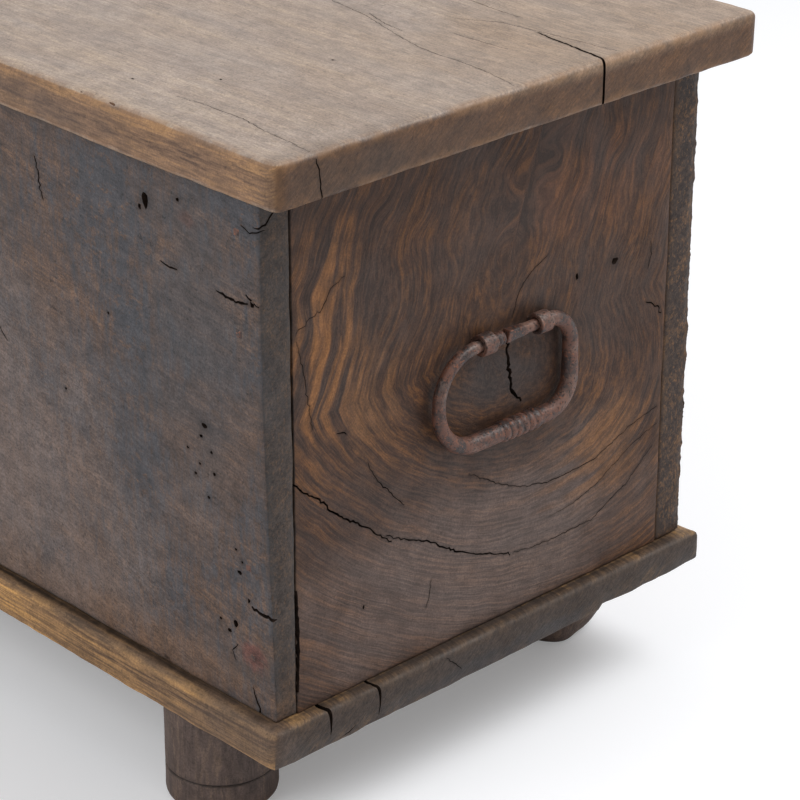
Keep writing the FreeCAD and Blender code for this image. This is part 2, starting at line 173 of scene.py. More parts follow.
# Shader drawing
class NodeSketch:
    """Draws shader nodes into one tree with short calls."""

    MIX_SHARE = 0
    MIX_FIRST = 6
    MIX_SECOND = 7
    MIX_RESULT = 2

    def __init__(self, tree: bpy.types.NodeTree) -> None:
        """Keeps the tree to draw in."""
        self.tree = tree

    def add(self, kind: str, **settings: Any) -> bpy.types.Node:
        """Adds a node.

        Args:
            kind: Blender's name for the node type.
            settings: properties to set on it.

        Returns:
            The new node.
        """
        node = self.tree.nodes.new(kind)
        for name, value in settings.items():
            setattr(node, name, value)
        return node

    def feed(self, socket: Socket, value: Feed) -> None:
        """Links a socket to an input, or sets the input's number.

        Args:
            socket: the input.
            value: what goes into it.
        """
        if isinstance(value, Socket):
            self.tree.links.new(value, socket)
        else:
            socket.default_value = value

    def calc(self, operation: str, *values: Feed, clamp: bool = False) -> Socket:
        """Math on numbers.

        Args:
            operation: the Math node's operation.
            values: sockets or numbers for its inputs.
            clamp: keeps the result from 0 to 1.

        Returns:
            The result's socket.
        """
        node = self.add("ShaderNodeMath", operation=operation, use_clamp=clamp)
        for socket, value in zip(node.inputs, values):
            self.feed(socket, value)
        return node.outputs[0]

    def vector(self, operation: str, *values: Feed) -> bpy.types.Node:
        """Math on vectors.

        Args:
            operation: the Vector Math node's operation.
            values: sockets or triples for its inputs.

        Returns:
            The node, for its Vector or Value output.
        """
        node = self.add("ShaderNodeVectorMath", operation=operation)
        for socket, value in zip(node.inputs, values):
            self.feed(socket, value)
        return node

    def join(self, x: Feed, y: Feed, z: Feed) -> Socket:
        """A vector from three numbers.

        Args:
            x: its first part.
            y: its second part.
            z: its third part.

        Returns:
            The vector's socket.
        """
        node = self.add("ShaderNodeCombineXYZ")
        for socket, value in zip(node.inputs, (x, y, z)):
            self.feed(socket, value)
        return node.outputs[0]

    def split(self, vector: Feed) -> list[Socket]:
        """The three numbers of a vector.

        Args:
            vector: the vector to take apart.

        Returns:
            The sockets of its parts.
        """
        node = self.add("ShaderNodeSeparateXYZ")
        self.feed(node.inputs[0], vector)
        return list(node.outputs)

    def stretch(self, vector: Feed, scale: Triple) -> Socket:
        """A vector with each part times its own number."""
        return self.vector("MULTIPLY", vector, scale).outputs["Vector"]

    def noise(self, vector: Feed, scale: Feed, detail: float = 2.0, rough: float = 0.5) -> Socket:
        """Cloudy noise in space.

        Args:
            vector: where to read it.
            scale: features per unit.
            detail: octaves.
            rough: strength of each finer octave.

        Returns:
            The socket of a number around one half.
        """
        node = self.add("ShaderNodeTexNoise")
        self.feed(node.inputs["Vector"], vector)
        self.feed(node.inputs["Scale"], scale)
        node.inputs["Detail"].default_value = detail
        node.inputs["Roughness"].default_value = rough
        return node.outputs[0]

    def cloud(self, vector: Feed, scale: Feed, detail: float = 2.0, rough: float = 0.5) -> Socket:
        """Noise around zero, with the same values as noise."""
        return self.calc("SUBTRACT", self.noise(vector, scale, detail, rough), 0.5)

    def step(self, value: Feed, low: Feed, high: Feed, to_low: float = 0.0, to_high: float = 1.0) -> Socket:
        """A smooth step.

        Args:
            value: the number to read.
            low: where the step starts.
            high: where it ends.
            to_low: result at and below low.
            to_high: result at and above high.

        Returns:
            The socket of the stepped number.
        """
        node = self.add("ShaderNodeMapRange", interpolation_type="SMOOTHSTEP")
        given = {"From Min": low, "From Max": high, "To Min": to_low, "To Max": to_high, "Value": value}
        for name, number in given.items():
            self.feed(node.inputs[name], number)
        return node.outputs[0]

    def blend(self, share: Feed, first: Feed, second: Feed, mode: str = "MIX") -> Socket:
        """Two colours mixed.

        Args:
            share: how much of the second, 0 to 1.
            first: colour below.
            second: colour above.
            mode: how they mix.

        Returns:
            The mixed colour's socket.
        """
        node = self.add("ShaderNodeMix", data_type="RGBA", blend_type=mode)
        self.feed(node.inputs[self.MIX_SHARE], share)
        self.feed(node.inputs[self.MIX_FIRST], first)
        self.feed(node.inputs[self.MIX_SECOND], second)
        return node.outputs[self.MIX_RESULT]

    def bump(self, height: Socket, strength: float, distance: float) -> Socket:
        """A bumpy surface.

        Args:
            height: how far each place stands out.
            strength: share of the bump that is shown.
            distance: size of a height of one.

        Returns:
            The normal's socket.
        """
        node = self.add("ShaderNodeBump")
        node.inputs["Strength"].default_value = strength
        node.inputs["Distance"].default_value = distance
        self.feed(node.inputs["Height"], height)
        return node.outputs["Normal"]

    def attribute(self, name: str) -> Socket:
        """A number stored on the mesh."""
        return self.add("ShaderNodeAttribute", attribute_name=name).outputs["Fac"]

    def place(self, group: bpy.types.NodeTree, **inputs: Feed) -> dict[str, Socket]:
        """Places a node group.

        Args:
            group: the group's tree.
            inputs: its inputs by name, with _ for a space.

        Returns:
            Its outputs by name.
        """
        node = self.add("ShaderNodeGroup", node_tree=group)
        for name, value in inputs.items():
            self.feed(node.inputs[name.replace("_", " ")], value)
        return {socket.name: socket for socket in node.outputs}


def new_material(name: str) -> tuple[bpy.types.Material, NodeSketch, bpy.types.Node]:
    """Starts a material.

    Args:
        name: the material's name.

    Returns:
        The material, a sketch of its nodes and its shader.
    """
    material = bpy.data.materials.new(name)
    material.use_nodes = True
    tree = material.node_tree
    return material, NodeSketch(tree), tree.nodes["Principled BSDF"]


class GroupSketch(NodeSketch):
    """A new shader node group with named inputs and outputs."""

    KINDS = {"v": "NodeSocketVector", "f": "NodeSocketFloat", "c": "NodeSocketColor"}

    def __init__(self, name: str, inputs: str, outputs: str) -> None:
        """Makes the group.

        Args:
            name: the group's name.
            inputs: "Name:kind" items, split by commas.
            outputs: the same for its outputs.
        """
        super().__init__(bpy.data.node_groups.new(name, "ShaderNodeTree"))
        for way, items in (("INPUT", inputs), ("OUTPUT", outputs)):
            for item in items.split(","):
                label, kind = item.strip().split(":")
                self.tree.interface.new_socket(name=label, in_out=way, socket_type=self.KINDS[kind])
        entry = self.add("NodeGroupInput")
        self.exit = self.add("NodeGroupOutput")
        self.given = {socket.name: socket for socket in entry.outputs if socket.name}

    def give(self, **results: Feed) -> bpy.types.NodeTree:
        """Links the group's outputs.

        Args:
            results: what each output gives, with _ for a space.

        Returns:
            The group's tree.
        """
        for name, value in results.items():
            self.feed(self.exit.inputs[name.replace("_", " ")], value)
        return self.tree


class GroupShelf:
    """The shared shader groups, each built once."""

    GRAIN_IN = "Vector:v, Wander:f"
    GRAIN_OUT = "Bands:f, Fibre:f, Lines:f, Mottle:f"
    RING_COS = 0.8
    RING_SIN = 0.6
    HEART = 0.331
    HEART_SIDE = 0.01
    HEART_ROUND = 0.0012
    BOWL_LEAN = 0.5
    BOWL_WIDTH = 1.144
    BOWL_TURN = 0.12
    UPPER_LEAN = 0.34
    UPPER_CURL = 0.07
    RING_RATE = 1500.0

    def __init__(self) -> None:
        """Starts with an empty shelf."""
        self._made: dict[str, bpy.types.NodeTree] = {}
        self._makers: dict[str, Callable[[], bpy.types.NodeTree]] = {
            "straight_grain": self._straight_grain,
            "cathedral_grain": self._cathedral_grain,
            "wood_tone": self._wood_tone,
            "grit": self._grit,
            "ageing": self._ageing,
            "patch": self._patch,
        }

    def get(self, name: str) -> bpy.types.NodeTree:
        """The group of that name, built at its first use.

        Args:
            name: the group's name.

        Returns:
            The group's tree.
        """
        if name not in self._made:
            self._made[name] = self._makers[name]()
        return self._made[name]

    def _straight_grain(self) -> bpy.types.NodeTree:
        """Grain that runs along X and wanders a little, on rings that lie aslant.

        Returns:
            The group's tree.
        """
        g = GroupSketch("straight_grain", self.GRAIN_IN, self.GRAIN_OUT)
        spot = g.given["Vector"]
        x, y, z = g.split(spot)
        broad = g.cloud(g.stretch(spot, (1.6, 6.0, 6.0)), 1.0)
        fine = g.cloud(g.stretch(spot, (10.0, 30.0, 30.0)), 1.0)
        sway = g.calc("MULTIPLY", g.calc("MULTIPLY_ADD", fine, 0.2, broad), g.given["Wander"])
        side = g.calc("ADD", y, sway)
        rise = g.calc("MULTIPLY_ADD", sway, 0.4, z)
        across = g.calc("MULTIPLY_ADD", rise, self.RING_COS, g.calc("MULTIPLY", side, -self.RING_SIN))
        ring = g.calc("MULTIPLY_ADD", rise, self.RING_SIN, g.calc("MULTIPLY", side, self.RING_COS))
        return self._streaks(g, g.join(x, across, ring), bands=(4.0, 96.0, 34.0), fibre=(44.0, 560.0, 150.0),
                             lines=(9.0, 150.0, 50.0), mottle=(9.0, 26.0, 26.0))

    def _cathedral_grain(self) -> bpy.types.NodeTree:
        """Nested bowls of rings that open upwards into curly grain, on a board sawn through a crotch.

        Returns:
            The group's tree.
        """
        g = GroupSketch("cathedral_grain", self.GRAIN_IN, self.GRAIN_OUT)
        spot = g.given["Vector"]
        _, y, z = g.split(spot)
        drop = g.calc("MAXIMUM", g.calc("SUBTRACT", self.HEART, z), 0.0)
        rise = g.calc("MAXIMUM", g.calc("SUBTRACT", z, self.HEART), 0.0)
        lean = g.calc("MULTIPLY_ADD", rise, self.UPPER_LEAN, g.calc("MULTIPLY", drop, self.BOWL_LEAN))
        side = g.calc("ADD", g.calc("SUBTRACT", y, lean), self.HEART_SIDE)
        wide = g.calc("DIVIDE", side, self.BOWL_WIDTH)
        square = g.calc("ADD", g.calc("POWER", wide, 2.0), g.calc("POWER", drop, 2.0))
        radius = g.calc("SQRT", g.calc("ADD", square, self.HEART_ROUND))
        broad = g.cloud(spot, 9.0)
        fine = g.cloud(spot, 42.0)
        sway = g.calc("MULTIPLY", g.calc("MULTIPLY_ADD", fine, 0.22, broad), g.given["Wander"])
        curl = g.cloud(spot, 11.0, 2.0, 0.4)
        upper = g.step(z, 0.3, 0.46, 0.0, self.UPPER_CURL)
        depth = g.calc("MULTIPLY_ADD", curl, upper, g.calc("ADD", radius, sway))
        turn = g.calc("MULTIPLY", g.calc("ARCTAN2", wide, g.calc("ADD", drop, 0.0001)), self.BOWL_TURN)
        along = g.calc("ADD", turn, g.calc("MULTIPLY", rise, g.calc("SIGN", side)))
        wave = g.calc("SINE", g.calc("MULTIPLY_ADD", depth, self.RING_RATE, g.calc("MULTIPLY", fine, 5.0)))
        shown = g.step(g.noise(spot, 30.0, 3.0), 0.38, 0.64)
        shown = g.calc("MULTIPLY", shown, g.step(z, 0.4, 0.28, 0.35, 1.0))
        rings = g.calc("MULTIPLY", g.step(wave, 0.2, 0.98, -0.02, 0.1), shown)
        return self._streaks(g, g.join(along, depth, 0.0), bands=(9.0, 112.0, 1.0), fibre=(60.0, 420.0, 1.0),
                             lines=(13.0, 120.0, 1.0), mottle=(14.0, 34.0, 1.0), rings=rings)

    @staticmethod
    def _streaks(g: GroupSketch, lane: Socket, bands: Triple, fibre: Triple, lines: Triple, mottle: Triple,
                 rings: Feed = 0.0) -> bpy.types.NodeTree:
        """Draws a board's streaks along its lanes.

        Args:
            g: the group to draw in.
            lane: place along and across the grain.
            bands: features per metre of the broad streaks.
            fibre: the same for the fine fibres.
            lines: the same for hair-thin dark lines.
            mottle: the same for clouds.
            rings: what growth rings add to the fibres.

        Returns:
            The finished group.
        """
        crossing = g.calc("ABSOLUTE", g.cloud(g.stretch(lane, lines), 1.0, 4.0, 0.6))
        clouds = g.noise(g.stretch(lane, mottle), 1.0, 4.0, 0.6)
        hair = g.calc("MULTIPLY", g.step(crossing, 0.026, 0.0), g.step(clouds, 0.4, 0.6))
        fibres = g.calc("ADD", g.noise(g.stretch(lane, fibre), 1.0, 4.0, 0.7), rings)
        broad = g.noise(g.stretch(lane, bands), 1.0, 3.0, 0.55)
        return g.give(Bands=broad, Fibre=fibres, Lines=hair, Mottle=clouds)

    def _wood_tone(self) -> bpy.types.NodeTree:
        """The colour of one face from its grain.

        Returns:
            The group's tree.
        """
        g = GroupSketch("wood_tone", self.GRAIN_OUT + ", Dark:c, Mid:c, Light:c", "Colour:c")
        given = g.given
        rings = g.step(given["Bands"], 0.3, 0.7)
        streaks = g.step(given["Fibre"], 0.37, 0.63)
        clouds = g.step(given["Mottle"], 0.3, 0.7)
        level = g.calc("MULTIPLY_ADD", rings, 0.34, g.calc("MULTIPLY", streaks, 0.4))
        level = g.calc("MULTIPLY_ADD", clouds, 0.26, level)
        low = g.blend(g.step(level, 0.12, 0.52), given["Dark"], given["Mid"])
        colour = g.blend(g.step(level, 0.48, 0.88), low, given["Light"])
        return g.give(Colour=g.blend(g.calc("MULTIPLY", given["Lines"], 0.6), colour, given["Dark"]))

    def _grit(self) -> bpy.types.NodeTree:
        """Fine dust, open pores and small bruises over a colour.

        Returns:
            The group's tree.
        """
        g = GroupSketch("grit", "Vector:v, Colour:c, Amount:f", "Colour:c")
        spot = g.given["Vector"]
        dust = g.step(g.noise(spot, 620.0, 3.0, 0.75), 0.3, 0.7, 0.78, 1.22)
        pores = g.step(g.noise(spot, 240.0, 3.0, 0.7), 0.6, 0.68, 1.0, 0.72)
        bruises = g.step(g.noise(spot, 74.0, 4.0, 0.7), 0.34, 0.66, 0.88, 1.12)
        shade = g.calc("MULTIPLY", g.calc("MULTIPLY", dust, pores), bruises)
        level = g.calc("MULTIPLY_ADD", g.calc("SUBTRACT", shade, 1.0), g.given["Amount"], 1.0)
        return g.give(Colour=g.blend(1.0, g.given["Colour"], level, "MULTIPLY"))

    def _ageing(self) -> bpy.types.NodeTree:
        """Rubbed arrises and dark seams over a colour.

        Returns:
            The group's tree.
        """
        sockets = "Vector:v, Colour:c, Edge:f, Stain:f, Edge Colour:c, Edge Amount:f, Grime:c"
        g = GroupSketch("ageing", sockets, "Colour:c")
        given = g.given
        patchy = g.step(g.noise(given["Vector"], 70.0, 3.0, 0.6), 0.38, 0.62)
        rub = g.calc("MULTIPLY", g.calc("MULTIPLY", given["Edge"], patchy), given["Edge Amount"], clamp=True)
        worn = g.blend(rub, given["Colour"], given["Edge Colour"])
        return g.give(Colour=g.blend(given["Stain"], worn, given["Grime"]))

    def _patch(self) -> bpy.types.NodeTree:
        """A soft spot round a place, broken up by noise.

        Returns:
            The group's tree.
        """
        g = GroupSketch("patch", "Vector:v, Place:v, Reach:v, Core:f, Broken:f, Share:f", "Mask:f")
        given = g.given
        offset = g.vector("SUBTRACT", given["Vector"], given["Place"]).outputs["Vector"]
        ratio = g.vector("DIVIDE", offset, given["Reach"]).outputs["Vector"]
        far = g.vector("LENGTH", ratio).outputs["Value"]
        wander = g.calc("MULTIPLY_ADD", g.cloud(given["Vector"], given["Broken"], 3.0), 1.1, far)
        mask = g.step(wander, 1.0, given["Core"])
        return g.give(Mask=g.calc("MULTIPLY", mask, given["Share"]))


SHELF = GroupShelf()


# Finishes
@dataclass(frozen=True)
class WoodFinish:
    """One board's wood: its tones by face, its grain, its wear, and some painted shade, highlights and sheen.
    """

    name: str
    outward: Face
    grain: int
    face: Tone
    side: Tone
    end: Tone
    inner: Tone
    figure: Figure = Figure.STRAIGHT
    mirrored: bool = False
    slant: float = 0.0
    wander: float = 0.03
    length: float = 1.0
    show: float = 0.21
    # Film and sheen: smears of old polish on the outer face, partly a painted sheen of reflected light
    film_and_sheen: Shade = Shade(66, 68, 72)
    film_and_sheen_share: float = 0.0
    film_and_sheen_scale: Triple = (34.0, 34.0, 7.0)
    edge: Shade = Shade(140, 100, 66)
    edge_share: float = 0.3
    grime: Shade = Shade(20, 16, 14)
    patches: tuple[Patch, ...] = ()
    rough: Pair = (0.42, 0.62)
    gloss: float = 0.3
    relief: float = 0.5
    grit: float = 1.0
    pores: float = 0.0
    pore: Shade = Shade(138, 100, 64)
    shift: Triple = (0.0, 0.0, 0.0)
    bump: float = 0.8 * MM

    def material(self) -> bpy.types.Material:
        """Builds the board's material.

        Returns:
            The finished material.
        """
        material, s, shader = new_material(self.name)
        place = s.add("ShaderNodeTexCoord")
        spot = place.outputs["Object"]
        grain = self._grain(s, spot)
        colour = self._tones(s, spot, grain, place.outputs["Normal"])
        # Painted sheen: the film of old polish also stands in for light reflected off the outer face
        film_and_sheen = self._film_and_sheen(s, spot, place.outputs["Normal"])
        grained = s.step(grain["Fibre"], 0.34, 0.66, 1.0 - self.show, 1.0 + self.show)
        colour = s.blend(film_and_sheen, colour, s.blend(1.0, self.film_and_sheen.linear, grained, "MULTIPLY"))
        # Patches: wear, grime, rust and halos, and also painted shadows, highlights and sheen
        for patch in self.patches:
            mask = s.place(SHELF.get("patch"), Vector=spot, Place=[v * MM for v in patch.at],
                           Reach=[v * MM for v in patch.reach], Core=patch.core, Broken=patch.broken,
                           Share=patch.share)["Mask"]
            if patch.grained:
                mask = s.calc("MULTIPLY", mask, s.step(grain["Bands"], 0.42, 0.6))
            colour = s.blend(mask, colour, s.blend(1.0, patch.shade.linear, grained, "MULTIPLY"))
        colour = s.place(SHELF.get("grit"), Vector=spot, Colour=colour, Amount=self.grit)["Colour"]
        aged = s.place(SHELF.get("ageing"), Vector=spot, Colour=colour, Edge=s.attribute("edge"),
                       Stain=s.attribute("stain"), Edge_Colour=self.edge.linear,
                       Edge_Amount=self.edge_share, Grime=self.grime.linear)
        s.feed(shader.inputs["Base Color"], aged["Colour"])
        sheen = s.step(grain["Mottle"], 0.3, 0.7, self.rough[0], self.rough[1])
        s.feed(shader.inputs["Roughness"], s.calc("MULTIPLY_ADD", s.attribute("stain"), 0.25, sheen))
        shader.inputs["Specular IOR Level"].default_value = self.gloss
        s.feed(shader.inputs["Normal"], self._relief(s, spot, grain))
        return material

    def _grain(self, s: NodeSketch, spot: Socket) -> dict[str, Socket]:
        """Places the grain group that the figure asks for.

        Args:
            s: the sketch to draw in.
            spot: the place on the board.

        Returns:
            The group's outputs by name.
        """
        if self.figure is Figure.CATHEDRAL:
            flip = (1.0, -1.0 if self.mirrored else 1.0, 1.0)
            lane = s.vector("MULTIPLY_ADD", spot, flip, self.shift).outputs["Vector"]
            return s.place(SHELF.get("cathedral_grain"), Vector=lane, Wander=self.wander)
        turned = s.add("ShaderNodeVectorRotate", rotation_type="Y_AXIS")
        s.feed(turned.inputs["Vector"], spot)
        turned.inputs["Angle"].default_value = math.radians(self.slant)
        drawn = (1.0 / self.length, 1.0, 1.0)
        lane = s.vector("MULTIPLY_ADD", turned.outputs[0], drawn, self.shift).outputs["Vector"]
        if self.grain == Face.TOP.axis:
            x, y, z = s.split(lane)
            lane = s.join(z, y, x)
        return s.place(SHELF.get("straight_grain"), Vector=lane, Wander=self.wander)

    @staticmethod
    def _tone(s: NodeSketch, tone: Tone, parts: dict[str, Feed]) -> Socket:
        """The colour of one face: its tone's shades, spread by its grain."""
        shades = {"Dark": tone.dark.linear, "Mid": tone.mid.linear, "Light": tone.light.linear}
        return s.place(SHELF.get("wood_tone"), **shades, **parts)["Colour"]

    def _tones(self, s: NodeSketch, spot: Socket, grain: dict[str, Socket], normal: Socket) -> Socket:
        """Colours each face by its own tone.

        Args:
            s: the sketch to draw in.
            spot: the place on the board.
            grain: outputs of the grain group.
            normal: the surface's direction.

        Returns:
            The colour's socket.
        """
        ways = s.split(normal)
        out = s.calc("MULTIPLY", ways[self.outward.axis], float(self.outward.way))
        side = self._tone(s, self.side, grain)
        colour = s.blend(s.step(out, 0.62, 0.8), side, self._tone(s, self.face, grain))
        colour = s.blend(s.step(out, -0.45, -0.85), colour, self._tone(s, self.inner, grain))
        if self.pores:
            mottled = dict(grain, Fibre=s.noise(spot, 330.0, 3.0, 0.7), Lines=0.0)
            sawn = self._tone(s, self.end, mottled)
            open_pores = s.noise(s.stretch(spot, (1.0, 1.0, 0.55)), 400.0, 2.0, 0.6)
            sawn = s.blend(s.step(open_pores, 0.56, 0.66, 0.0, self.pores), sawn, self.pore.linear)
        else:
            sawn = self._tone(s, self.end, grain)
        return s.blend(s.step(s.calc("ABSOLUTE", ways[self.grain]), 0.5, 0.85), colour, sawn)

    def _film_and_sheen(self, s: NodeSketch, spot: Socket, normal: Socket) -> Socket:
        """Smears of old polish on the outer face, which also stand in for a painted sheen.

        Args:
            s: the sketch to draw in.
            spot: the place on the board.
            normal: the surface's direction.

        Returns:
            The socket of the mask of the polish and painted sheen.
        """
        smear = s.noise(s.stretch(spot, self.film_and_sheen_scale), 1.0, 6.0, 0.72)
        broad = s.noise(spot, 9.0, 2.0)
        level = s.calc("MULTIPLY_ADD", broad, 0.5, s.calc("MULTIPLY", smear, 0.5))
        chipped = s.step(s.noise(spot, 150.0, 4.0, 0.7), 0.55, 0.62, 1.0, 0.15)
        mask = s.calc("MULTIPLY", s.step(level, 0.43, 0.58), chipped)
        out = s.calc("MULTIPLY", s.split(normal)[self.outward.axis], float(self.outward.way))
        return s.calc("MULTIPLY", mask, s.step(out, 0.3, 0.8, 0.0, self.film_and_sheen_share))

    def _relief(self, s: NodeSketch, spot: Socket, grain: dict[str, Socket]) -> Socket:
        """Raised fibres, open pores and a dull handled surface.

        Args:
            s: the sketch to draw in.
            spot: the place on the board.
            grain: outputs of the grain group.

        Returns:
            The normal's socket.
        """
        rubbed = s.noise(spot, 320.0, 3.0, 0.6)
        height = s.calc("MULTIPLY_ADD", grain["Fibre"], 0.7, s.calc("MULTIPLY", rubbed, 0.35))
        height = s.calc("MULTIPLY_ADD", grain["Lines"], -0.35, height)
        height = s.calc("MULTIPLY_ADD", grain["Bands"], 0.5, height)
        return s.bump(height, self.relief, self.bump)


@dataclass(frozen=True)
class SeamFinish:
    """The dark raw wood inside cracks and worm holes."""

    name: str = "dark_seam"
    shade: Shade = Shade(24, 18, 15)
    fleck: Shade = Shade(46, 34, 27)
    rough: float = 0.85
    gloss: float = 0.1

    def material(self) -> bpy.types.Material:
        """Builds the seam's material.

        Returns:
            The finished material.
        """
        material, s, shader = new_material(self.name)
        spot = s.add("ShaderNodeTexCoord").outputs["Object"]
        share = s.step(s.noise(spot, 260.0, 3.0), 0.35, 0.75)
        s.feed(shader.inputs["Base Color"], s.blend(share, self.shade.linear, self.fleck.linear))
        shader.inputs["Roughness"].default_value = self.rough
        shader.inputs["Specular IOR Level"].default_value = self.gloss
        return material


@dataclass(frozen=True)
class IronFinish:
    """Old hand-forged iron under brown rust, with painted shade in its grooves and hollows."""

    name: str = "rusted_iron"
    scale_shade: Shade = Shade(50, 37, 34)
    rust: Shade = Shade(96, 62, 49)
    bright_rust: Shade = Shade(130, 76, 48)
    worn: Shade = Shade(132, 108, 97)
    pit: Shade = Shade(34, 25, 23)
    # Painted shade in the grooves and hollows
    groove_shade: Shade = Shade(26, 19, 18)
    gloss: float = 0.5
    bump_share: float = 0.8
    bump: float = 0.7 * MM
    bare_shift: Triple = (3.1, 1.7, 0.4)

    def material(self) -> bpy.types.Material:
        """Builds the iron's material.

        Returns:
            The finished material.
        """
        material, s, shader = new_material(self.name)
        spot = s.add("ShaderNodeTexCoord").outputs["Object"]
        cloud = s.noise(spot, 70.0, 5.0, 0.65)
        speck = s.noise(spot, 420.0, 3.0, 0.6)
        colour = s.blend(s.step(cloud, 0.42, 0.57), self.scale_shade.linear, self.rust.linear)
        colour = s.blend(s.step(speck, 0.56, 0.72), colour, self.bright_rust.linear)
        elsewhere = s.vector("ADD", spot, self.bare_shift).outputs["Vector"]
        bare = s.step(s.noise(elsewhere, 38.0, 4.0, 0.6), 0.52, 0.66)
        rub = s.calc("MULTIPLY", bare, s.step(s.attribute("edge"), 0.35, 0.9, 0.12, 0.8))
        colour = s.blend(rub, colour, self.worn.linear)
        pits = s.step(s.noise(spot, 620.0, 2.0), 0.34, 0.44, 1.0, 0.0)
        colour = s.blend(s.calc("MULTIPLY", pits, 0.8), colour, self.pit.linear)
        # Painted shade: near-black where the edge attribute is low, in the grooves and hollows
        colour = s.blend(s.step(s.attribute("edge"), 0.42, 0.12, 0.0, 0.85), colour, self.groove_shade.linear)
        s.feed(shader.inputs["Base Color"], colour)
        s.feed(shader.inputs["Metallic"], s.calc("MULTIPLY", rub, 0.35))
        s.feed(shader.inputs["Roughness"], s.step(cloud, 0.3, 0.7, 0.38, 0.6))
        shader.inputs["Specular IOR Level"].default_value = self.gloss
        height = s.calc("MULTIPLY_ADD", speck, 0.5, s.calc("MULTIPLY", pits, -0.6))
        normal = s.bump(s.calc("ADD", height, cloud), self.bump_share, self.bump)
        s.feed(shader.inputs["Normal"], normal)
        return material


# Flaws in the wood
@dataclass(frozen=True)
class Crack:
    """A drying crack along points in the plane of a face, in millimetres."""

    face: Face
    points: tuple[Pair, ...]
    width: float = 1.2
    depth: float = 6.0
    first: float = 0.15
    last: float = 0.15
    rough: float = 0.5
    foot: float = 0.15
    halo: float = 1.8


@dataclass(frozen=True)
class Hole:
    """A worm hole or a lost nail's hole in a face, in millimetres."""

    face: Face
    at: Pair
    size: Pair = (2.4, 2.8)
    depth: float = 7.0
    halo: float = 4.0


@dataclass(frozen=True)
class Chip:
    """A knocked-off or gouged spot on a face, in millimetres."""

    face: Face
    at: Pair
    size: Triple = (10.0, 5.0, 2.5)
    turn: float = 0.0
    halo: float = 0.0


Flaw = Crack | Hole | Chip


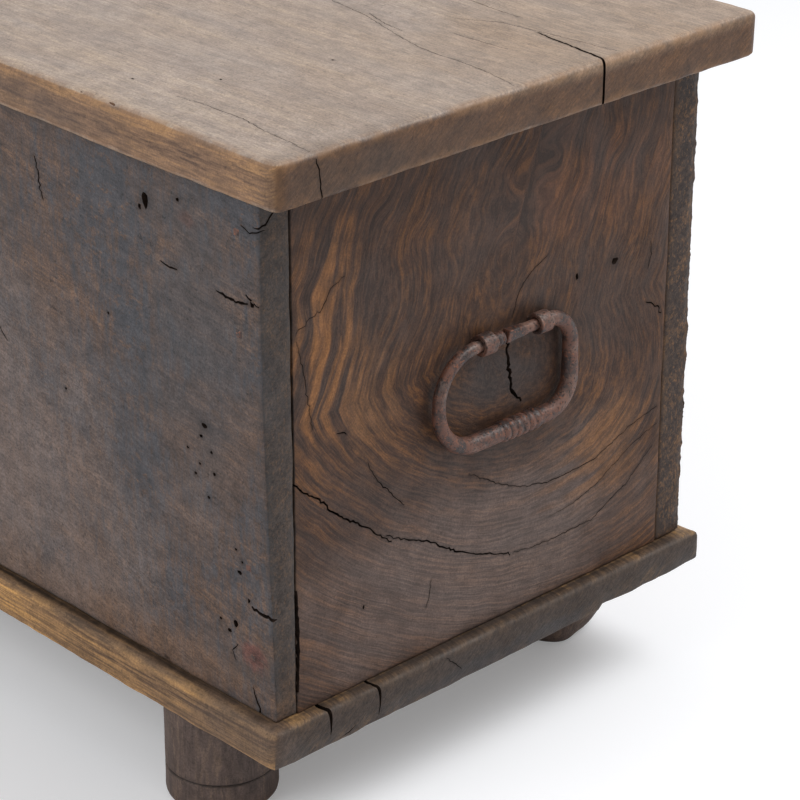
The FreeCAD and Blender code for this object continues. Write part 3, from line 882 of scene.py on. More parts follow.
# Modelling helpers
class Bench:
    """Editing moves that every piece uses."""

    SHARP = 0.6
    WEIGHT_STEPS = 20

    @staticmethod
    def clear() -> None:
        """Leaves nothing selected in object mode."""
        if bpy.context.object and bpy.context.object.mode != "OBJECT":
            bpy.ops.object.mode_set(mode="OBJECT")
        bpy.ops.object.select_all(action="DESELECT")

    @staticmethod
    def take(obj: bpy.types.Object) -> None:
        """Makes one object the only selected and the active one.

        Args:
            obj: the object.
        """
        Bench.clear()
        obj.select_set(True)
        bpy.context.view_layer.objects.active = obj

    @staticmethod
    def edit(obj: bpy.types.Object, kind: str = "VERT") -> None:
        """Opens an object for editing.

        Args:
            obj: the object.
            kind: "VERT", "EDGE" or "FACE" selection.
        """
        Bench.take(obj)
        bpy.ops.object.mode_set(mode="EDIT")
        bpy.ops.mesh.select_mode(type=kind)

    @staticmethod
    def pick(obj: bpy.types.Object, kind: str, test: Callable[[Any], bool]) -> int:
        """Selects what passes a test while editing.

        Args:
            obj: the edited object.
            kind: "VERT", "EDGE" or "FACE".
            test: takes an element and says whether it is wanted.

        Returns:
            How many were selected.
        """
        bpy.ops.mesh.select_mode(type=kind)
        bpy.ops.mesh.select_all(action="DESELECT")
        bm = bmesh.from_edit_mesh(obj.data)
        wanted = [e for e in {"VERT": bm.verts, "EDGE": bm.edges, "FACE": bm.faces}[kind] if test(e)]
        for element in wanted:
            element.select_set(True)
        bm.select_flush_mode()
        bmesh.update_edit_mesh(obj.data)
        return len(wanted)

    @staticmethod
    def bisect(place: Sequence[float], way: Sequence[float]) -> None:
        """Cuts everything in the edited mesh along a plane."""
        bpy.ops.mesh.select_all(action="SELECT")
        bpy.ops.mesh.bisect(plane_co=place, plane_no=way)

    @staticmethod
    def bevel(obj: bpy.types.Object, size: float, segments: int, test: Callable[[Any], bool]) -> None:
        """Rounds the sharp edges that pass a test.

        Args:
            obj: the edited object.
            size: width of the round.
            segments: facets in it.
            test: takes an edge and says whether it is wanted.
        """
        if Bench.pick(obj, "EDGE", lambda e: e.calc_face_angle(0.0) > Bench.SHARP and test(e)):
            bpy.ops.mesh.bevel(offset=size, segments=segments, profile=0.5, affect="EDGES",
                               clamp_overlap=True)

    @staticmethod
    def finish_mode() -> None:
        """Goes back to object mode."""
        bpy.ops.object.mode_set(mode="OBJECT")

    @staticmethod
    def apply(obj: bpy.types.Object, modifier: bpy.types.Modifier) -> None:
        """Applies one modifier."""
        Bench.take(obj)
        bpy.ops.object.modifier_apply(modifier=modifier.name)

    @staticmethod
    def displace(obj: bpy.types.Object, scale: float, strength: float, level: float = 0.5,
                 group: str = "", depth: int = 2) -> None:
        """Moves the surface in and out by cloudy noise.

        Args:
            obj: the object.
            scale: size of the clouds.
            strength: how far from the lowest to the highest place.
            level: the noise level that stays in place; 1 only takes away.
            group: vertex group that limits it.
            depth: octaves of the noise.
        """
        texture = bpy.data.textures.new(f"{obj.name}_{scale:.3f}", "CLOUDS")
        texture.noise_scale = scale
        texture.noise_depth = depth
        modifier = obj.modifiers.new("displace", "DISPLACE")
        modifier.texture = texture
        modifier.texture_coords = "LOCAL"
        modifier.strength = strength
        modifier.mid_level = level
        modifier.vertex_group = group
        Bench.apply(obj, modifier)
        bpy.data.textures.remove(texture)

    @staticmethod
    def points(obj: bpy.types.Object) -> np.ndarray:
        """The mesh's points.

        Args:
            obj: the object.

        Returns:
            Its points, one row each.
        """
        flat = np.empty(len(obj.data.vertices) * 3, np.float32)
        obj.data.vertices.foreach_get("co", flat)
        return flat.reshape(-1, 3).astype(float)

    @staticmethod
    def set_points(obj: bpy.types.Object, places: np.ndarray) -> None:
        """Moves the mesh's points."""
        obj.data.vertices.foreach_set("co", places.astype(np.float32).ravel())
        obj.data.update()

    @staticmethod
    def weights(obj: bpy.types.Object, name: str, values: np.ndarray) -> None:
        """Writes a vertex group in even steps.

        Args:
            obj: the object.
            name: the group's name.
            values: a weight from 0 to 1 for each point.
        """
        group = obj.vertex_groups.new(name=name)
        count = Bench.WEIGHT_STEPS
        steps = np.rint(np.clip(values, 0, 1) * count).astype(int)
        for step in range(1, count + 1):
            chosen = np.flatnonzero(steps == step).tolist()
            if chosen:
                group.add(chosen, step / count, "REPLACE")

    @staticmethod
    def attribute(obj: bpy.types.Object, name: str, values: np.ndarray) -> None:
        """Stores a number on each point for the materials."""
        layer = obj.data.attributes.new(name, "FLOAT", "POINT")
        layer.data.foreach_set("value", values.astype(np.float32))

    @staticmethod
    def nearest(spots: Sequence[Vector]) -> kdtree.KDTree:
        """Sorts points for a quick search.

        Args:
            spots: the points.

        Returns:
            The tree that finds the nearest of them.
        """
        tree = kdtree.KDTree(len(spots))
        for i, spot in enumerate(spots):
            tree.insert(spot, i)
        tree.balance()
        return tree

    @staticmethod
    def smooth(obj: bpy.types.Object, degrees: float) -> None:
        """Smooth shading that breaks at sharp edges."""
        Bench.take(obj)
        bpy.ops.object.shade_smooth_by_angle(angle=math.radians(degrees))

    @staticmethod
    def hand_over(obj: bpy.types.Object, body: str, slot: str, nodes: Sequence[str]) -> None:
        """Parents a piece to the body that it moves with and hides the nodes that it stands for.

        Args:
            obj: the finished piece.
            body: the body that it moves with.
            slot: not used.
            nodes: the nodes that it stands for.
        """
        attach(obj, body)
        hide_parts(*nodes)
        LOG.info("%s: %d faces on %s", obj.name, len(obj.data.polygons), body)


def ease(values: np.ndarray) -> np.ndarray:
    """Smooth step of numbers that run from 0 to 1."""
    kept = np.clip(values, 0.0, 1.0)
    return kept * kept * (3.0 - 2.0 * kept)


class FlawTools:
    """Makes the one cutter that opens all flaws of a board."""

    LIFT = 3.0 * MM
    STEP = 2.6 * MM
    SPREAD = 0.5
    THINNEST = 0.08
    SHALLOWEST = 0.35
    HOLE_SIDES = 9
    BORE_SIDES = 40

    # Lowest and highest share of a random width or size
    RAGGED = (0.65, 1.2)
    SPLIT = (0.85, 1.15)
    WOBBLE = (0.75, 1.25)
    LUMPS = (0.85, 1.12)

    def __init__(self, surface: Callable[[Face, float, float], Vector], seed: int) -> None:
        """Starts an empty cutter.

        Args:
            surface: gives the place on a face from two numbers in millimetres.
            seed: seed of the roughness.
        """
        self.surface = surface
        self.rng = random.Random(seed)
        self.bm = bmesh.new()

    def path(self, crack: Crack) -> list[Vector]:
        """The crack's line on the surface, cut fine and roughened.

        Args:
            crack: the crack.

        Returns:
            Points along it.
        """
        corners = [self.surface(crack.face, a, b) for a, b in crack.points]
        line = [corners[0]]
        for start, end in zip(corners, corners[1:]):
            count = max(1, round((end - start).length / self.STEP))
            side = crack.face.normal.cross((end - start).normalized())
            for i in range(1, count + 1):
                spot = start.lerp(end, i / count)
                line.append(spot + side * (self.rng.gauss(0.0, self.SPREAD) * crack.rough * MM))
        return line

    def _close(self, rings: list[list[bmesh.types.BMVert]]) -> None:
        """Skins a row of rings and caps both ends.

        Args:
            rings: the rings' points, in order.
        """
        for ring, after in zip(rings, rings[1:]):
            count = len(ring)
            for i in range(count):
                j = (i + 1) % count
                self.bm.faces.new((ring[i], ring[j], after[j], after[i]))
        self.bm.faces.new(list(reversed(rings[0])))
        self.bm.faces.new(rings[-1])

    def crack(self, crack: Crack) -> list[Vector]:
        """Adds a wedge that follows the crack.

        Args:
            crack: the crack to open.

        Returns:
            Points along it.
        """
        line = self.path(crack)
        normal = crack.face.normal
        rings = []
        last = len(line) - 1
        for i, spot in enumerate(line):
            t = i / last
            swell = math.sin(math.pi * min(1.0, 0.08 + 0.84 * t)) ** 0.5
            ends = crack.first * (1 - t) + crack.last * t
            share = max(self.THINNEST, ends + (1.0 - ends) * swell) * self.rng.uniform(*self.RAGGED)
            if t < 0.5 and crack.first >= 1.0 or t >= 0.5 and crack.last >= 1.0:
                share = self.rng.uniform(*self.SPLIT)
            half = 0.5 * crack.width * MM * share
            deep = crack.depth * MM * max(self.SHALLOWEST, min(1.0, share))
            ahead = line[min(i + 1, last)] - line[max(i - 1, 0)]
            side = normal.cross(ahead.normalized())
            mouth = half * (1.0 + self.LIFT / deep * (1.0 - crack.foot))
            low = spot - normal * deep
            high = spot + normal * self.LIFT
            rings.append([self.bm.verts.new(p) for p in (
                high + side * mouth, high - side * mouth,
                low - side * half * crack.foot, low + side * half * crack.foot)])
        self._close(rings)
        return line

    def hole(self, hole: Hole) -> list[Vector]:
        """Adds a ragged tapering plug for a hole.

        Args:
            hole: the hole to open.

        Returns:
            Its middle.
        """
        middle = self.surface(hole.face, *hole.at)
        normal = hole.face.normal
        first, second = hole.face.plane_axes
        rings = []
        wobble = [self.rng.uniform(*self.WOBBLE) for _ in range(self.HOLE_SIDES)]
        deep = -hole.depth * MM
        for rise, share in ((self.LIFT, 1.05), (0.0, 1.0), (deep * 0.6, 0.75), (deep, 0.4)):
            ring = []
            for k, bulge in enumerate(wobble):
                angle = math.tau * k / len(wobble)
                spot = middle + normal * rise
                spot[first] += math.cos(angle) * hole.size[0] * 0.5 * MM * share * bulge
                spot[second] += math.sin(angle) * hole.size[1] * 0.5 * MM * share * bulge
                ring.append(self.bm.verts.new(spot))
            rings.append(ring)
        self._close(rings)
        return [middle]

    def chip(self, chip: Chip) -> list[Vector]:
        """Adds a scooped lump for a chip.

        Args:
            chip: the chip to knock off.

        Returns:
            Its middle.
        """
        middle = self.surface(chip.face, *chip.at)
        first, second = chip.face.plane_axes
        made = bmesh.ops.create_icosphere(self.bm, subdivisions=2, radius=1.0)
        for face in {face for vert in made["verts"] for face in vert.link_faces}:
            face.material_index = 1
        cos, sin = math.cos(math.radians(chip.turn)), math.sin(math.radians(chip.turn))
        for vert in made["verts"]:
            push = self.rng.uniform(*self.LUMPS)
            a, b, c = (vert.co[i] * size * 0.5 * MM * push for i, size in enumerate(chip.size))
            spot = middle.copy()
            spot[first] += a * cos - b * sin
            spot[second] += a * sin + b * cos
            spot[chip.face.axis] += 2.0 * c
            vert.co = spot
        return [middle]

    def add(self, flaw: Flaw) -> list[Vector]:
        """Adds one flaw.

        Args:
            flaw: the flaw to open.

        Returns:
            Points along it.
        """
        if isinstance(flaw, Crack):
            return self.crack(flaw)
        if isinstance(flaw, Hole):
            return self.hole(flaw)
        return self.chip(flaw)

    def block(self, lo: Sequence[float], hi: Sequence[float]) -> None:
        """Adds a plain box, for a notch.

        Args:
            lo: its lower corner.
            hi: its upper corner.
        """
        made = bmesh.ops.create_cube(self.bm, size=1.0)
        low, high = Vector(lo), Vector(hi)
        for vert in made["verts"]:
            vert.co = [low[i] + (vert.co[i] + 0.5) * (high[i] - low[i]) for i in range(3)]

    def bore(self, foot: Sequence[float], radius: float, depth: float) -> None:
        """Adds an upright round plug, for a socket.

        Args:
            foot: middle of its lower end.
            radius: its radius.
            depth: its height.
        """
        middle = Matrix.Translation(Vector(foot) + Vector((0.0, 0.0, depth / 2)))
        bmesh.ops.create_cone(self.bm, cap_ends=True, segments=self.BORE_SIDES, radius1=radius,
                              radius2=radius, depth=depth, matrix=middle)

    def made(self, name: str, materials: Sequence[bpy.types.Material]) -> bpy.types.Object:
        """Turns the cutter into an object of its own.

        Args:
            name: the object's name.
            materials: what the opened wood looks like.

        Returns:
            The cutter.
        """
        bmesh.ops.recalc_face_normals(self.bm, faces=self.bm.faces)
        mesh = bpy.data.meshes.new(name)
        self.bm.to_mesh(mesh)
        self.bm.free()
        for material in materials:
            mesh.materials.append(material)
        cutter = bpy.data.objects.new(name, mesh)
        bpy.context.scene.collection.objects.link(cutter)
        return cutter


# Boards
@dataclass
class Plank:
    """One sawn, hand-planed and worn board."""

    node: str
    outward: Face
    finish: WoodFinish
    seams: tuple[bpy.types.Material, ...]
    slot: str
    body: str = "chest"
    cell: float = 4.6 * MM
    rim: float = 5.0 * MM
    arris: float = 1.6 * MM
    broad: float = 1.4 * MM
    hand: float = 0.7 * MM
    nicks: float = 1.6 * MM
    flaws: tuple[Flaw, ...] = ()
    seed: int = 1
    broad_scale: float = 0.21
    hand_scale: float = 0.045
    nick_scale: float = 0.024
    nick_level: float = 0.85
    flaw_reach: float = 6.5 * MM
    knock_reach: float = 9.0 * MM
    rub_reach: float = 8.0 * MM
    halo_spare: float = 2.0 * MM
    halo_share: float = 0.6
    crease: float = 38.0
    lo: Vector = field(init=False)
    hi: Vector = field(init=False)

    def __post_init__(self) -> None:
        """Reads the board's box from the frame."""
        self.lo, self.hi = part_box(self.node)

    def build(self) -> bpy.types.Object:
        """Makes the finished board.

        Returns:
            The board's object, in place and dressed.
        """
        board = self.sawn()
        self.round_arrises(board)
        Bench.finish_mode()
        tools = FlawTools(self.surface, self.seed)
        traces = [(flaw, tools.add(flaw)) for flaw in self.flaws]
        self.refine(board, [p for _, line in traces for p in line])
        self.weather(board)
        self.shape(board)
        self.extra_cuts(tools)
        board.data.materials.append(self.finish.material())
        if tools.bm.verts:
            self.open_flaws(board, tools)
        self.mark(board, traces)
        Bench.smooth(board, self.crease)
        Bench.hand_over(board, self.body, self.slot, [self.node])
        return board

    def surface(self, face: Face, a: float, b: float) -> Vector:
        """The place on a face.

        Args:
            face: which side of the board.
            a: first coordinate in the face's plane, in millimetres.
            b: second coordinate.

        Returns:
            The point, in metres.
        """
        spot = Vector((0.0, 0.0, 0.0))
        first, second = face.plane_axes
        spot[first], spot[second] = a * MM, b * MM
        spot[face.axis] = (self.hi if face.way > 0 else self.lo)[face.axis]
        return spot

    def sawn(self) -> bpy.types.Object:
        """A board cut to size from a grid: its face is drawn out, pushed to its thickness and divided.

        Returns:
            The board, open for editing.
        """
        axis = self.outward.axis
        turn = {2: (0.0, 0.0, 0.0), 1: (math.pi / 2, 0.0, 0.0), 0: (math.pi / 2, 0.0, math.pi / 2)}[axis]
        way = -1.0 if axis == 1 else 1.0
        size = self.hi - self.lo
        first, second = self.outward.plane_axes
        start = (self.lo + self.hi) / 2
        start[axis] = self.lo[axis] if way > 0 else self.hi[axis]
        counts = [max(4, round(size[i] / self.cell)) for i in (first, second)]
        Bench.clear()
        bpy.ops.mesh.primitive_grid_add(x_subdivisions=counts[0], y_subdivisions=counts[1], size=1.0,
                                        location=start, rotation=turn)
        board = bpy.context.object
        board.name = board.data.name = self.node + "_plank"
        bpy.ops.object.transform_apply(location=True, rotation=True, scale=True)
        Bench.edit(board)
        bpy.ops.mesh.select_all(action="SELECT")
        full = [1.0 if i == axis else size[i] for i in range(3)]
        bpy.ops.transform.resize(value=full, center_override=start)
        Bench.pick(board, "VERT", lambda v: not v.is_boundary)
        inner = [1.0, 1.0, 1.0]
        for i, count in zip((first, second), counts):
            inner[i] = (size[i] - 2 * self.rim) / (size[i] - 2 * size[i] / count)
        bpy.ops.transform.resize(value=inner, center_override=start)
        bpy.ops.mesh.select_all(action="SELECT")
        push = [0.0, 0.0, 0.0]
        push[axis] = way * size[axis]
        bpy.ops.mesh.extrude_region_move(TRANSFORM_OT_translate={"value": push})
        normal = self.outward.normal
        for share in self.thickness_cuts(size[axis]):
            place = self.lo.copy()
            place[axis] += share
            Bench.bisect(place, normal)
        bpy.ops.mesh.select_all(action="SELECT")
        bpy.ops.mesh.normals_make_consistent(inside=False)
        return board

    def thickness_cuts(self, thickness: float) -> list[float]:
        """Where the thickness is divided.

        Args:
            thickness: the board's thickness.

        Returns:
            Distances from its lower side.
        """
        count = max(2, round((thickness - 2 * self.rim) / self.cell))
        step = (thickness - 2 * self.rim) / count
        return [self.rim + step * i for i in range(count + 1)]

    def round_arrises(self, board: bpy.types.Object) -> None:
        """Breaks all sharp edges."""
        Bench.bevel(board, self.arris, 3, lambda e: True)

    @staticmethod
    def round_rim(board: bpy.types.Object, height: float, size: float, segments: int) -> None:
        """Rounds the edges that lie at one height."""
        Bench.bevel(board, size, segments, lambda e: all(abs(v.co.z - height) < NEAR for v in e.verts))

    def refine(self, board: bpy.types.Object, spots: list[Vector]) -> None:
        """Divides the faces near flaws, so that shapes and stains are crisp there.

        Args:
            board: the board.
            spots: points along the flaws.
        """
        if not spots:
            return
        tree = Bench.nearest(spots)
        Bench.edit(board, "FACE")
        if Bench.pick(board, "FACE", lambda f: tree.find(f.calc_center_median())[2] < self.flaw_reach):
            bpy.ops.mesh.subdivide(number_cuts=1)
        Bench.finish_mode()

    def round_corners(self, places: np.ndarray, radius: float) -> None:
        """Pulls the points of the four upright corners in to a round.

        Args:
            places: the board's points, which are moved.
            radius: radius of the round.
        """
        past = [np.maximum(np.abs(places[:, i]) - (self.hi[i] - radius), 0.0) for i in (0, 1)]
        pull = np.maximum(past[0], past[1]) / np.maximum(np.hypot(past[0], past[1]), TINY)
        for i in (0, 1):
            places[:, i] += np.sign(places[:, i]) * past[i] * np.where(past[i] > 0.0, pull - 1.0, 0.0)

    def depths(self, places: np.ndarray) -> np.ndarray:
        """How far each point is from the nearer face on each axis."""
        lo, hi = np.array(self.lo), np.array(self.hi)
        return np.minimum(places - lo, hi - places)

    def arris_share(self, places: np.ndarray, reach: float) -> np.ndarray:
        """1 at the board's edges, falling to 0 within a reach."""
        second = np.sort(self.depths(places), axis=1)[:, 1]
        return ease(1.0 - second / reach)

    def weather(self, board: bpy.types.Object) -> None:
        """Gives the flat board its hollows, tool marks and knocked edges.

        Args:
            board: the board.
        """
        Bench.weights(board, "arris", self.arris_share(Bench.points(board), self.knock_reach))
        Bench.displace(board, self.broad_scale, self.broad)
        Bench.displace(board, self.hand_scale, self.hand)
        Bench.displace(board, self.nick_scale, self.nicks, self.nick_level, "arris", 3)

    def shape(self, board: bpy.types.Object) -> None:
        """Hook for a board that isn't flat."""

    def extra_cuts(self, tools: FlawTools) -> None:
        """Hook for notches and sockets."""

    def open_flaws(self, board: bpy.types.Object, tools: FlawTools) -> None:
        """Cuts the cracks and holes into the board.

        Args:
            board: the board.
            tools: what was collected to cut with.
        """
        cutter = tools.made(self.node + "_flaws", self.seams)
        modifier = board.modifiers.new("flaws", "BOOLEAN")
        modifier.operation = "DIFFERENCE"
        modifier.object = cutter
        modifier.solver = "MANIFOLD"
        modifier.material_mode = "TRANSFER"
        Bench.apply(board, modifier)
        bpy.data.objects.remove(cutter, do_unlink=True)

    def mark(self, board: bpy.types.Object, traces: list[tuple[Flaw, list[Vector]]]) -> None:
        """Stores rubbed edges and stained seams on the points.

        Args:
            board: the board.
            traces: each flaw with the points along it.
        """
        places = Bench.points(board)
        Bench.attribute(board, "edge", self.arris_share(places, self.rub_reach))
        stain = np.zeros(len(places))
        for flaw, line in traces:
            if flaw.halo <= 0.0:
                continue
            tree = Bench.nearest(line)
            near = np.array([spot[:] for spot in line])
            halo = flaw.halo * MM
            reach = halo + self.halo_spare
            inside = np.all((places > near.min(0) - reach) & (places < near.max(0) + reach), axis=1)
            for index in np.flatnonzero(inside):
                away = tree.find(places[index])[2]
                stain[index] = max(stain[index], self.halo_share * (1.0 - min(1.0, away / halo)))
        Bench.attribute(board, "stain", stain)


@dataclass
class FrontPlank(Plank):
    """Front board, hewn thinner towards its foot."""

    foot_set_back: float = 7.5 * MM
    taper_top: float = 361.0 * MM

    def set_back(self, height: float | np.ndarray) -> np.ndarray:
        """How far the outer face lies behind its upper part at a height."""
        share = (self.taper_top - height) / (self.taper_top - self.lo.z)
        return self.foot_set_back * np.clip(share, 0.0, 1.0)

    def surface(self, face: Face, a: float, b: float) -> Vector:
        """The place on a face, with the outer face's taper.

        Args:
            face: which side of the board.
            a: first coordinate in the face's plane, in millimetres.
            b: second coordinate.

        Returns:
            The point, in metres.
        """
        spot = super().surface(face, a, b)
        if face is Face.FRONT:
            spot.y += float(self.set_back(spot.z))
        return spot

    def shape(self, board: bpy.types.Object) -> None:
        """Pushes the outer face back towards the foot.

        Args:
            board: the flat board.
        """
        places = Bench.points(board)
        share = np.clip((self.hi.y - places[:, 1]) / (self.hi.y - self.lo.y), 0.0, 1.0)
        places[:, 1] += share * self.set_back(places[:, 2])
        Bench.set_points(board, places)

    def depths(self, places: np.ndarray) -> np.ndarray:
        """Distances to the faces; before the taper they are as for a flat board.

        Args:
            places: points of the board.

        Returns:
            The distance to the nearer face on each axis.
        """
        away = super().depths(places)
        outer = places[:, 1] - (self.lo.y + self.set_back(places[:, 2]))
        away[:, 1] = np.minimum(away[:, 1], np.maximum(outer, 0.0))
        return away


@dataclass
class BackPlank(Plank):
    """Back board, notched for the hinge straps and worm-eaten at its ends."""

    strap_places: Pair = (330.0 * MM, -330.0 * MM)
    notch_half: float = 16.0 * MM
    notch_depth: float = 3.5 * MM
    spare: float = 5.0 * MM
    eaten_width: float = 9.0 * MM
    eaten_depth: float = 15.0 * MM
    eaten_reach: float = 11.0 * MM

    # Size of the clouds, height, level that stays and octaves
    BITES = ((0.036, 2.4 * MM, 0.6, 2), (0.011, 3.0 * MM, 0.62, 3), (0.004, 1.4 * MM, 0.6, 2))

    def extra_cuts(self, tools: FlawTools) -> None:
        """Cuts the two strap notches.

        Args:
            tools: the cutter that they are added to.
        """
        for place in self.strap_places:
            tools.block((place - self.notch_half, self.lo.y - self.spare, self.hi.z - self.notch_depth),
                        (place + self.notch_half, self.hi.y + self.spare, self.hi.z + self.spare))

    def at_corner(self, face: bmesh.types.BMFace) -> bool:
        """Whether a face lies at an upright outer corner."""
        x, y, _ = face.calc_center_median()
        return abs(x) > self.hi.x - self.eaten_width and y > self.hi.y - self.eaten_depth

    def refine(self, board: bpy.types.Object, spots: list[Vector]) -> None:
        """Divides the outer corners as well, where the worm has eaten.

        Args:
            board: the board.
            spots: points along the flaws.
        """
        super().refine(board, spots)
        Bench.edit(board, "FACE")
        if Bench.pick(board, "FACE", self.at_corner):
            bpy.ops.mesh.subdivide(number_cuts=2)
        Bench.finish_mode()

    def weather(self, board: bpy.types.Object) -> None:
        """Wears the board and eats away its upright outer corners.

        Args:
            board: the board.
        """
        super().weather(board)
        places = Bench.points(board)
        from_end = self.hi.x - np.abs(places[:, 0])
        from_back = self.hi.y - places[:, 1]
        eaten = ease(1.0 - np.hypot(from_end, from_back) / self.eaten_reach)
        Bench.weights(board, "eaten", eaten)
        for scale, strength, level, octaves in self.BITES:
            Bench.displace(board, scale, strength, level, "eaten", octaves)


@dataclass
class LidPlank(Plank):
    """Lid, with well rounded corners."""

    corner: float = 9.0 * MM
    top: float = 4.5 * MM
    under: float = 3.0 * MM

    def round_arrises(self, board: bpy.types.Object) -> None:
        """Rounds the upper and lower edges."""
        self.round_rim(board, self.hi.z, self.top, 4)
        self.round_rim(board, self.lo.z, self.under, 4)

    def shape(self, board: bpy.types.Object) -> None:
        """Rounds the upright corners.

        Args:
            board: the lid.
        """
        places = Bench.points(board)
        self.round_corners(places, self.corner)
        Bench.set_points(board, places)


@dataclass
class BottomPlank(Plank):
    """Bottom board, with a rounded nosing all round and sockets for the feet."""

    corner: float = 7.0 * MM
    nosing: float = 9.0 * MM
    under: float = 2.5 * MM
    socket_radius: float = 18.2 * MM
    socket_depth: float = 22.2 * MM
    foot_places: tuple[Pair, ...] = tuple((x * MM, y * MM) for x in (450.0, -450.0) for y in (-176.5, 176.5))
    spare: float = 5.0 * MM
    facet: float = 1.6 * MM
    facet_top: float = 98.0 * MM
    facet_fade: float = 16.0 * MM
    facet_reach: float = 15.0 * MM
    facet_blend: float = 11.0 * MM
    break_start: float = 109.0 * MM
    break_blend: float = 3.0 * MM
    break_rise: float = 4.0 * MM
    break_reach: float = 26.0 * MM
    break_fade: float = 16.0 * MM
    break_top: float = 6.0 * MM
    break_height: float = 24.0 * MM
    wave_mean: float = 0.88
    wave_share: float = 0.12
    wave_slow: float = 37.0
    wave_quick: float = 91.0

    def round_arrises(self, board: bpy.types.Object) -> None:
        """Rounds the upper edge to a nosing and eases the lower one."""
        self.round_rim(board, self.hi.z, self.nosing, 6)
        self.round_rim(board, self.lo.z, self.under, 2)

    def shape(self, board: bpy.types.Object) -> None:
        """Squares the end nosing, wears its lower right-hand edge and breaks that away towards the back.

        Args:
            board: the bottom board.
        """
        places = Bench.points(board)
        x, y, z = places.T.copy()
        past = np.maximum(np.abs(x) - (self.hi.x - self.nosing), 0.0) / self.nosing
        over = np.maximum(z - (self.hi.z - self.nosing), 0.0) / self.nosing
        square = np.hypot(past, over) / np.maximum((past ** 4 + over ** 4) ** 0.25, TINY)
        grow = np.where((past > 0.0) & (over > 0.0), square - 1.0, 0.0)
        places[:, 0] += np.sign(x) * past * grow * self.nosing
        places[:, 2] += over * grow * self.nosing
        swing = self.wave_share * np.sin(y * self.wave_slow)
        wave = self.wave_mean + swing * np.sin(y * self.wave_quick + 1.0)
        near = ease((x - self.hi.x + self.facet_reach) / self.facet_blend)
        places[:, 0] -= self.facet * wave * near * ease((self.facet_top - z) / self.facet_fade)
        broken = ease((y - self.break_start) / self.break_blend)
        broken *= ease((x - self.hi.x + self.break_reach) / self.break_fade)
        low = ease((self.hi.z - self.break_top - z) / self.break_height)
        places[:, 2] += self.break_rise * wave * broken * low
        self.round_corners(places, self.corner)
        Bench.set_points(board, places)

    def extra_cuts(self, tools: FlawTools) -> None:
        """Bores the feet's sockets."""
        for x, y in self.foot_places:
            tools.bore((x, y, self.lo.z - self.spare), self.socket_radius, self.spare + self.socket_depth)


# Feet
@dataclass
class Foot:
    """A turned foot with a scribed line, a worn edge and a tenon."""

    SIDES = 72
    LEVELS = (15.0, 20.0, 31.0, 37.0, 43.0, 49.0, 55.0, 61.0, 67.0, 73.0)
    SAME = 1e-4
    UPWARD = 0.9
    node: str
    finish: bpy.types.Material
    radius: float = 41.5 * MM
    height: float = 81.0 * MM
    worn: float = 13.0 * MM
    rubbed: float = 0.0
    rubbed_height: float = 34.0 * MM
    scribe: float = 26.0 * MM
    scribe_depth: float = 1.1 * MM
    scribe_half: float = 1.3 * MM
    tenon_radius: float = 18.0 * MM
    tenon_length: float = 22.0 * MM
    hollow_scale: float = 0.05
    hollow: float = 1.2 * MM
    mark_scale: float = 0.012
    marks: float = 0.5 * MM
    edge_height: float = 9.0 * MM
    dirt_half: float = 1.6 * MM
    dirt_share: float = 0.7
    crease: float = 40.0

    def build(self) -> bpy.types.Object:
        """Turns, wears and dresses the foot.

        Returns:
            The foot's object.
        """
        lo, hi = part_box(self.node)
        middle = (lo + hi) / 2
        middle.z = self.height / 2
        Bench.clear()
        bpy.ops.mesh.primitive_cylinder_add(vertices=self.SIDES, radius=self.radius, depth=self.height,
                                            location=middle)
        foot = bpy.context.object
        foot.name = foot.data.name = self.node + "_turned"
        bpy.ops.object.transform_apply(location=True, rotation=True, scale=True)
        Bench.edit(foot)
        heights = [level * MM for level in self.LEVELS]
        heights += [self.scribe - self.scribe_half, self.scribe, self.scribe + self.scribe_half]
        for height in heights:
            Bench.bisect((0.0, 0.0, height), (0.0, 0.0, 1.0))
        Bench.pick(foot, "VERT", lambda v: abs(v.co.z - self.scribe) < self.SAME)
        waist = (self.radius - self.scribe_depth) / self.radius
        bpy.ops.transform.resize(value=(waist, waist, 1.0), center_override=(middle.x, middle.y, self.scribe))
        Bench.pick(foot, "FACE", lambda f: f.normal.z > self.UPWARD)
        bpy.ops.mesh.inset(thickness=self.radius - self.tenon_radius)
        bpy.ops.mesh.extrude_region_move(TRANSFORM_OT_translate={"value": (0.0, 0.0, self.tenon_length)})
        Bench.bevel(foot, self.worn, 4, lambda e: all(v.co.z < self.SAME for v in e.verts))
        Bench.finish_mode()
        Bench.displace(foot, self.hollow_scale, self.hollow)
        Bench.displace(foot, self.mark_scale, self.marks)
        places = Bench.points(foot)
        outward = (places[:, 0] - middle.x) * math.copysign(1.0, middle.x) + (places[:, 1] - middle.y)
        low = ease(1.0 - places[:, 2] / self.rubbed_height) * ease(outward / self.radius)
        for axis in (0, 1):
            places[:, axis] += (middle[axis] - places[:, axis]) * self.rubbed * low
        places[:, 2] = np.maximum(places[:, 2], 0.0)
        Bench.set_points(foot, places)
        foot.data.materials.append(self.finish)
        Bench.attribute(foot, "edge", ease(1.0 - places[:, 2] / self.edge_height))
        away = np.abs(places[:, 2] - self.scribe)
        Bench.attribute(foot, "stain", self.dirt_share * ease(1.0 - away / self.dirt_half))
        Bench.smooth(foot, self.crease)
        Bench.hand_over(foot, "chest", "base_plank", [self.node])
        return foot


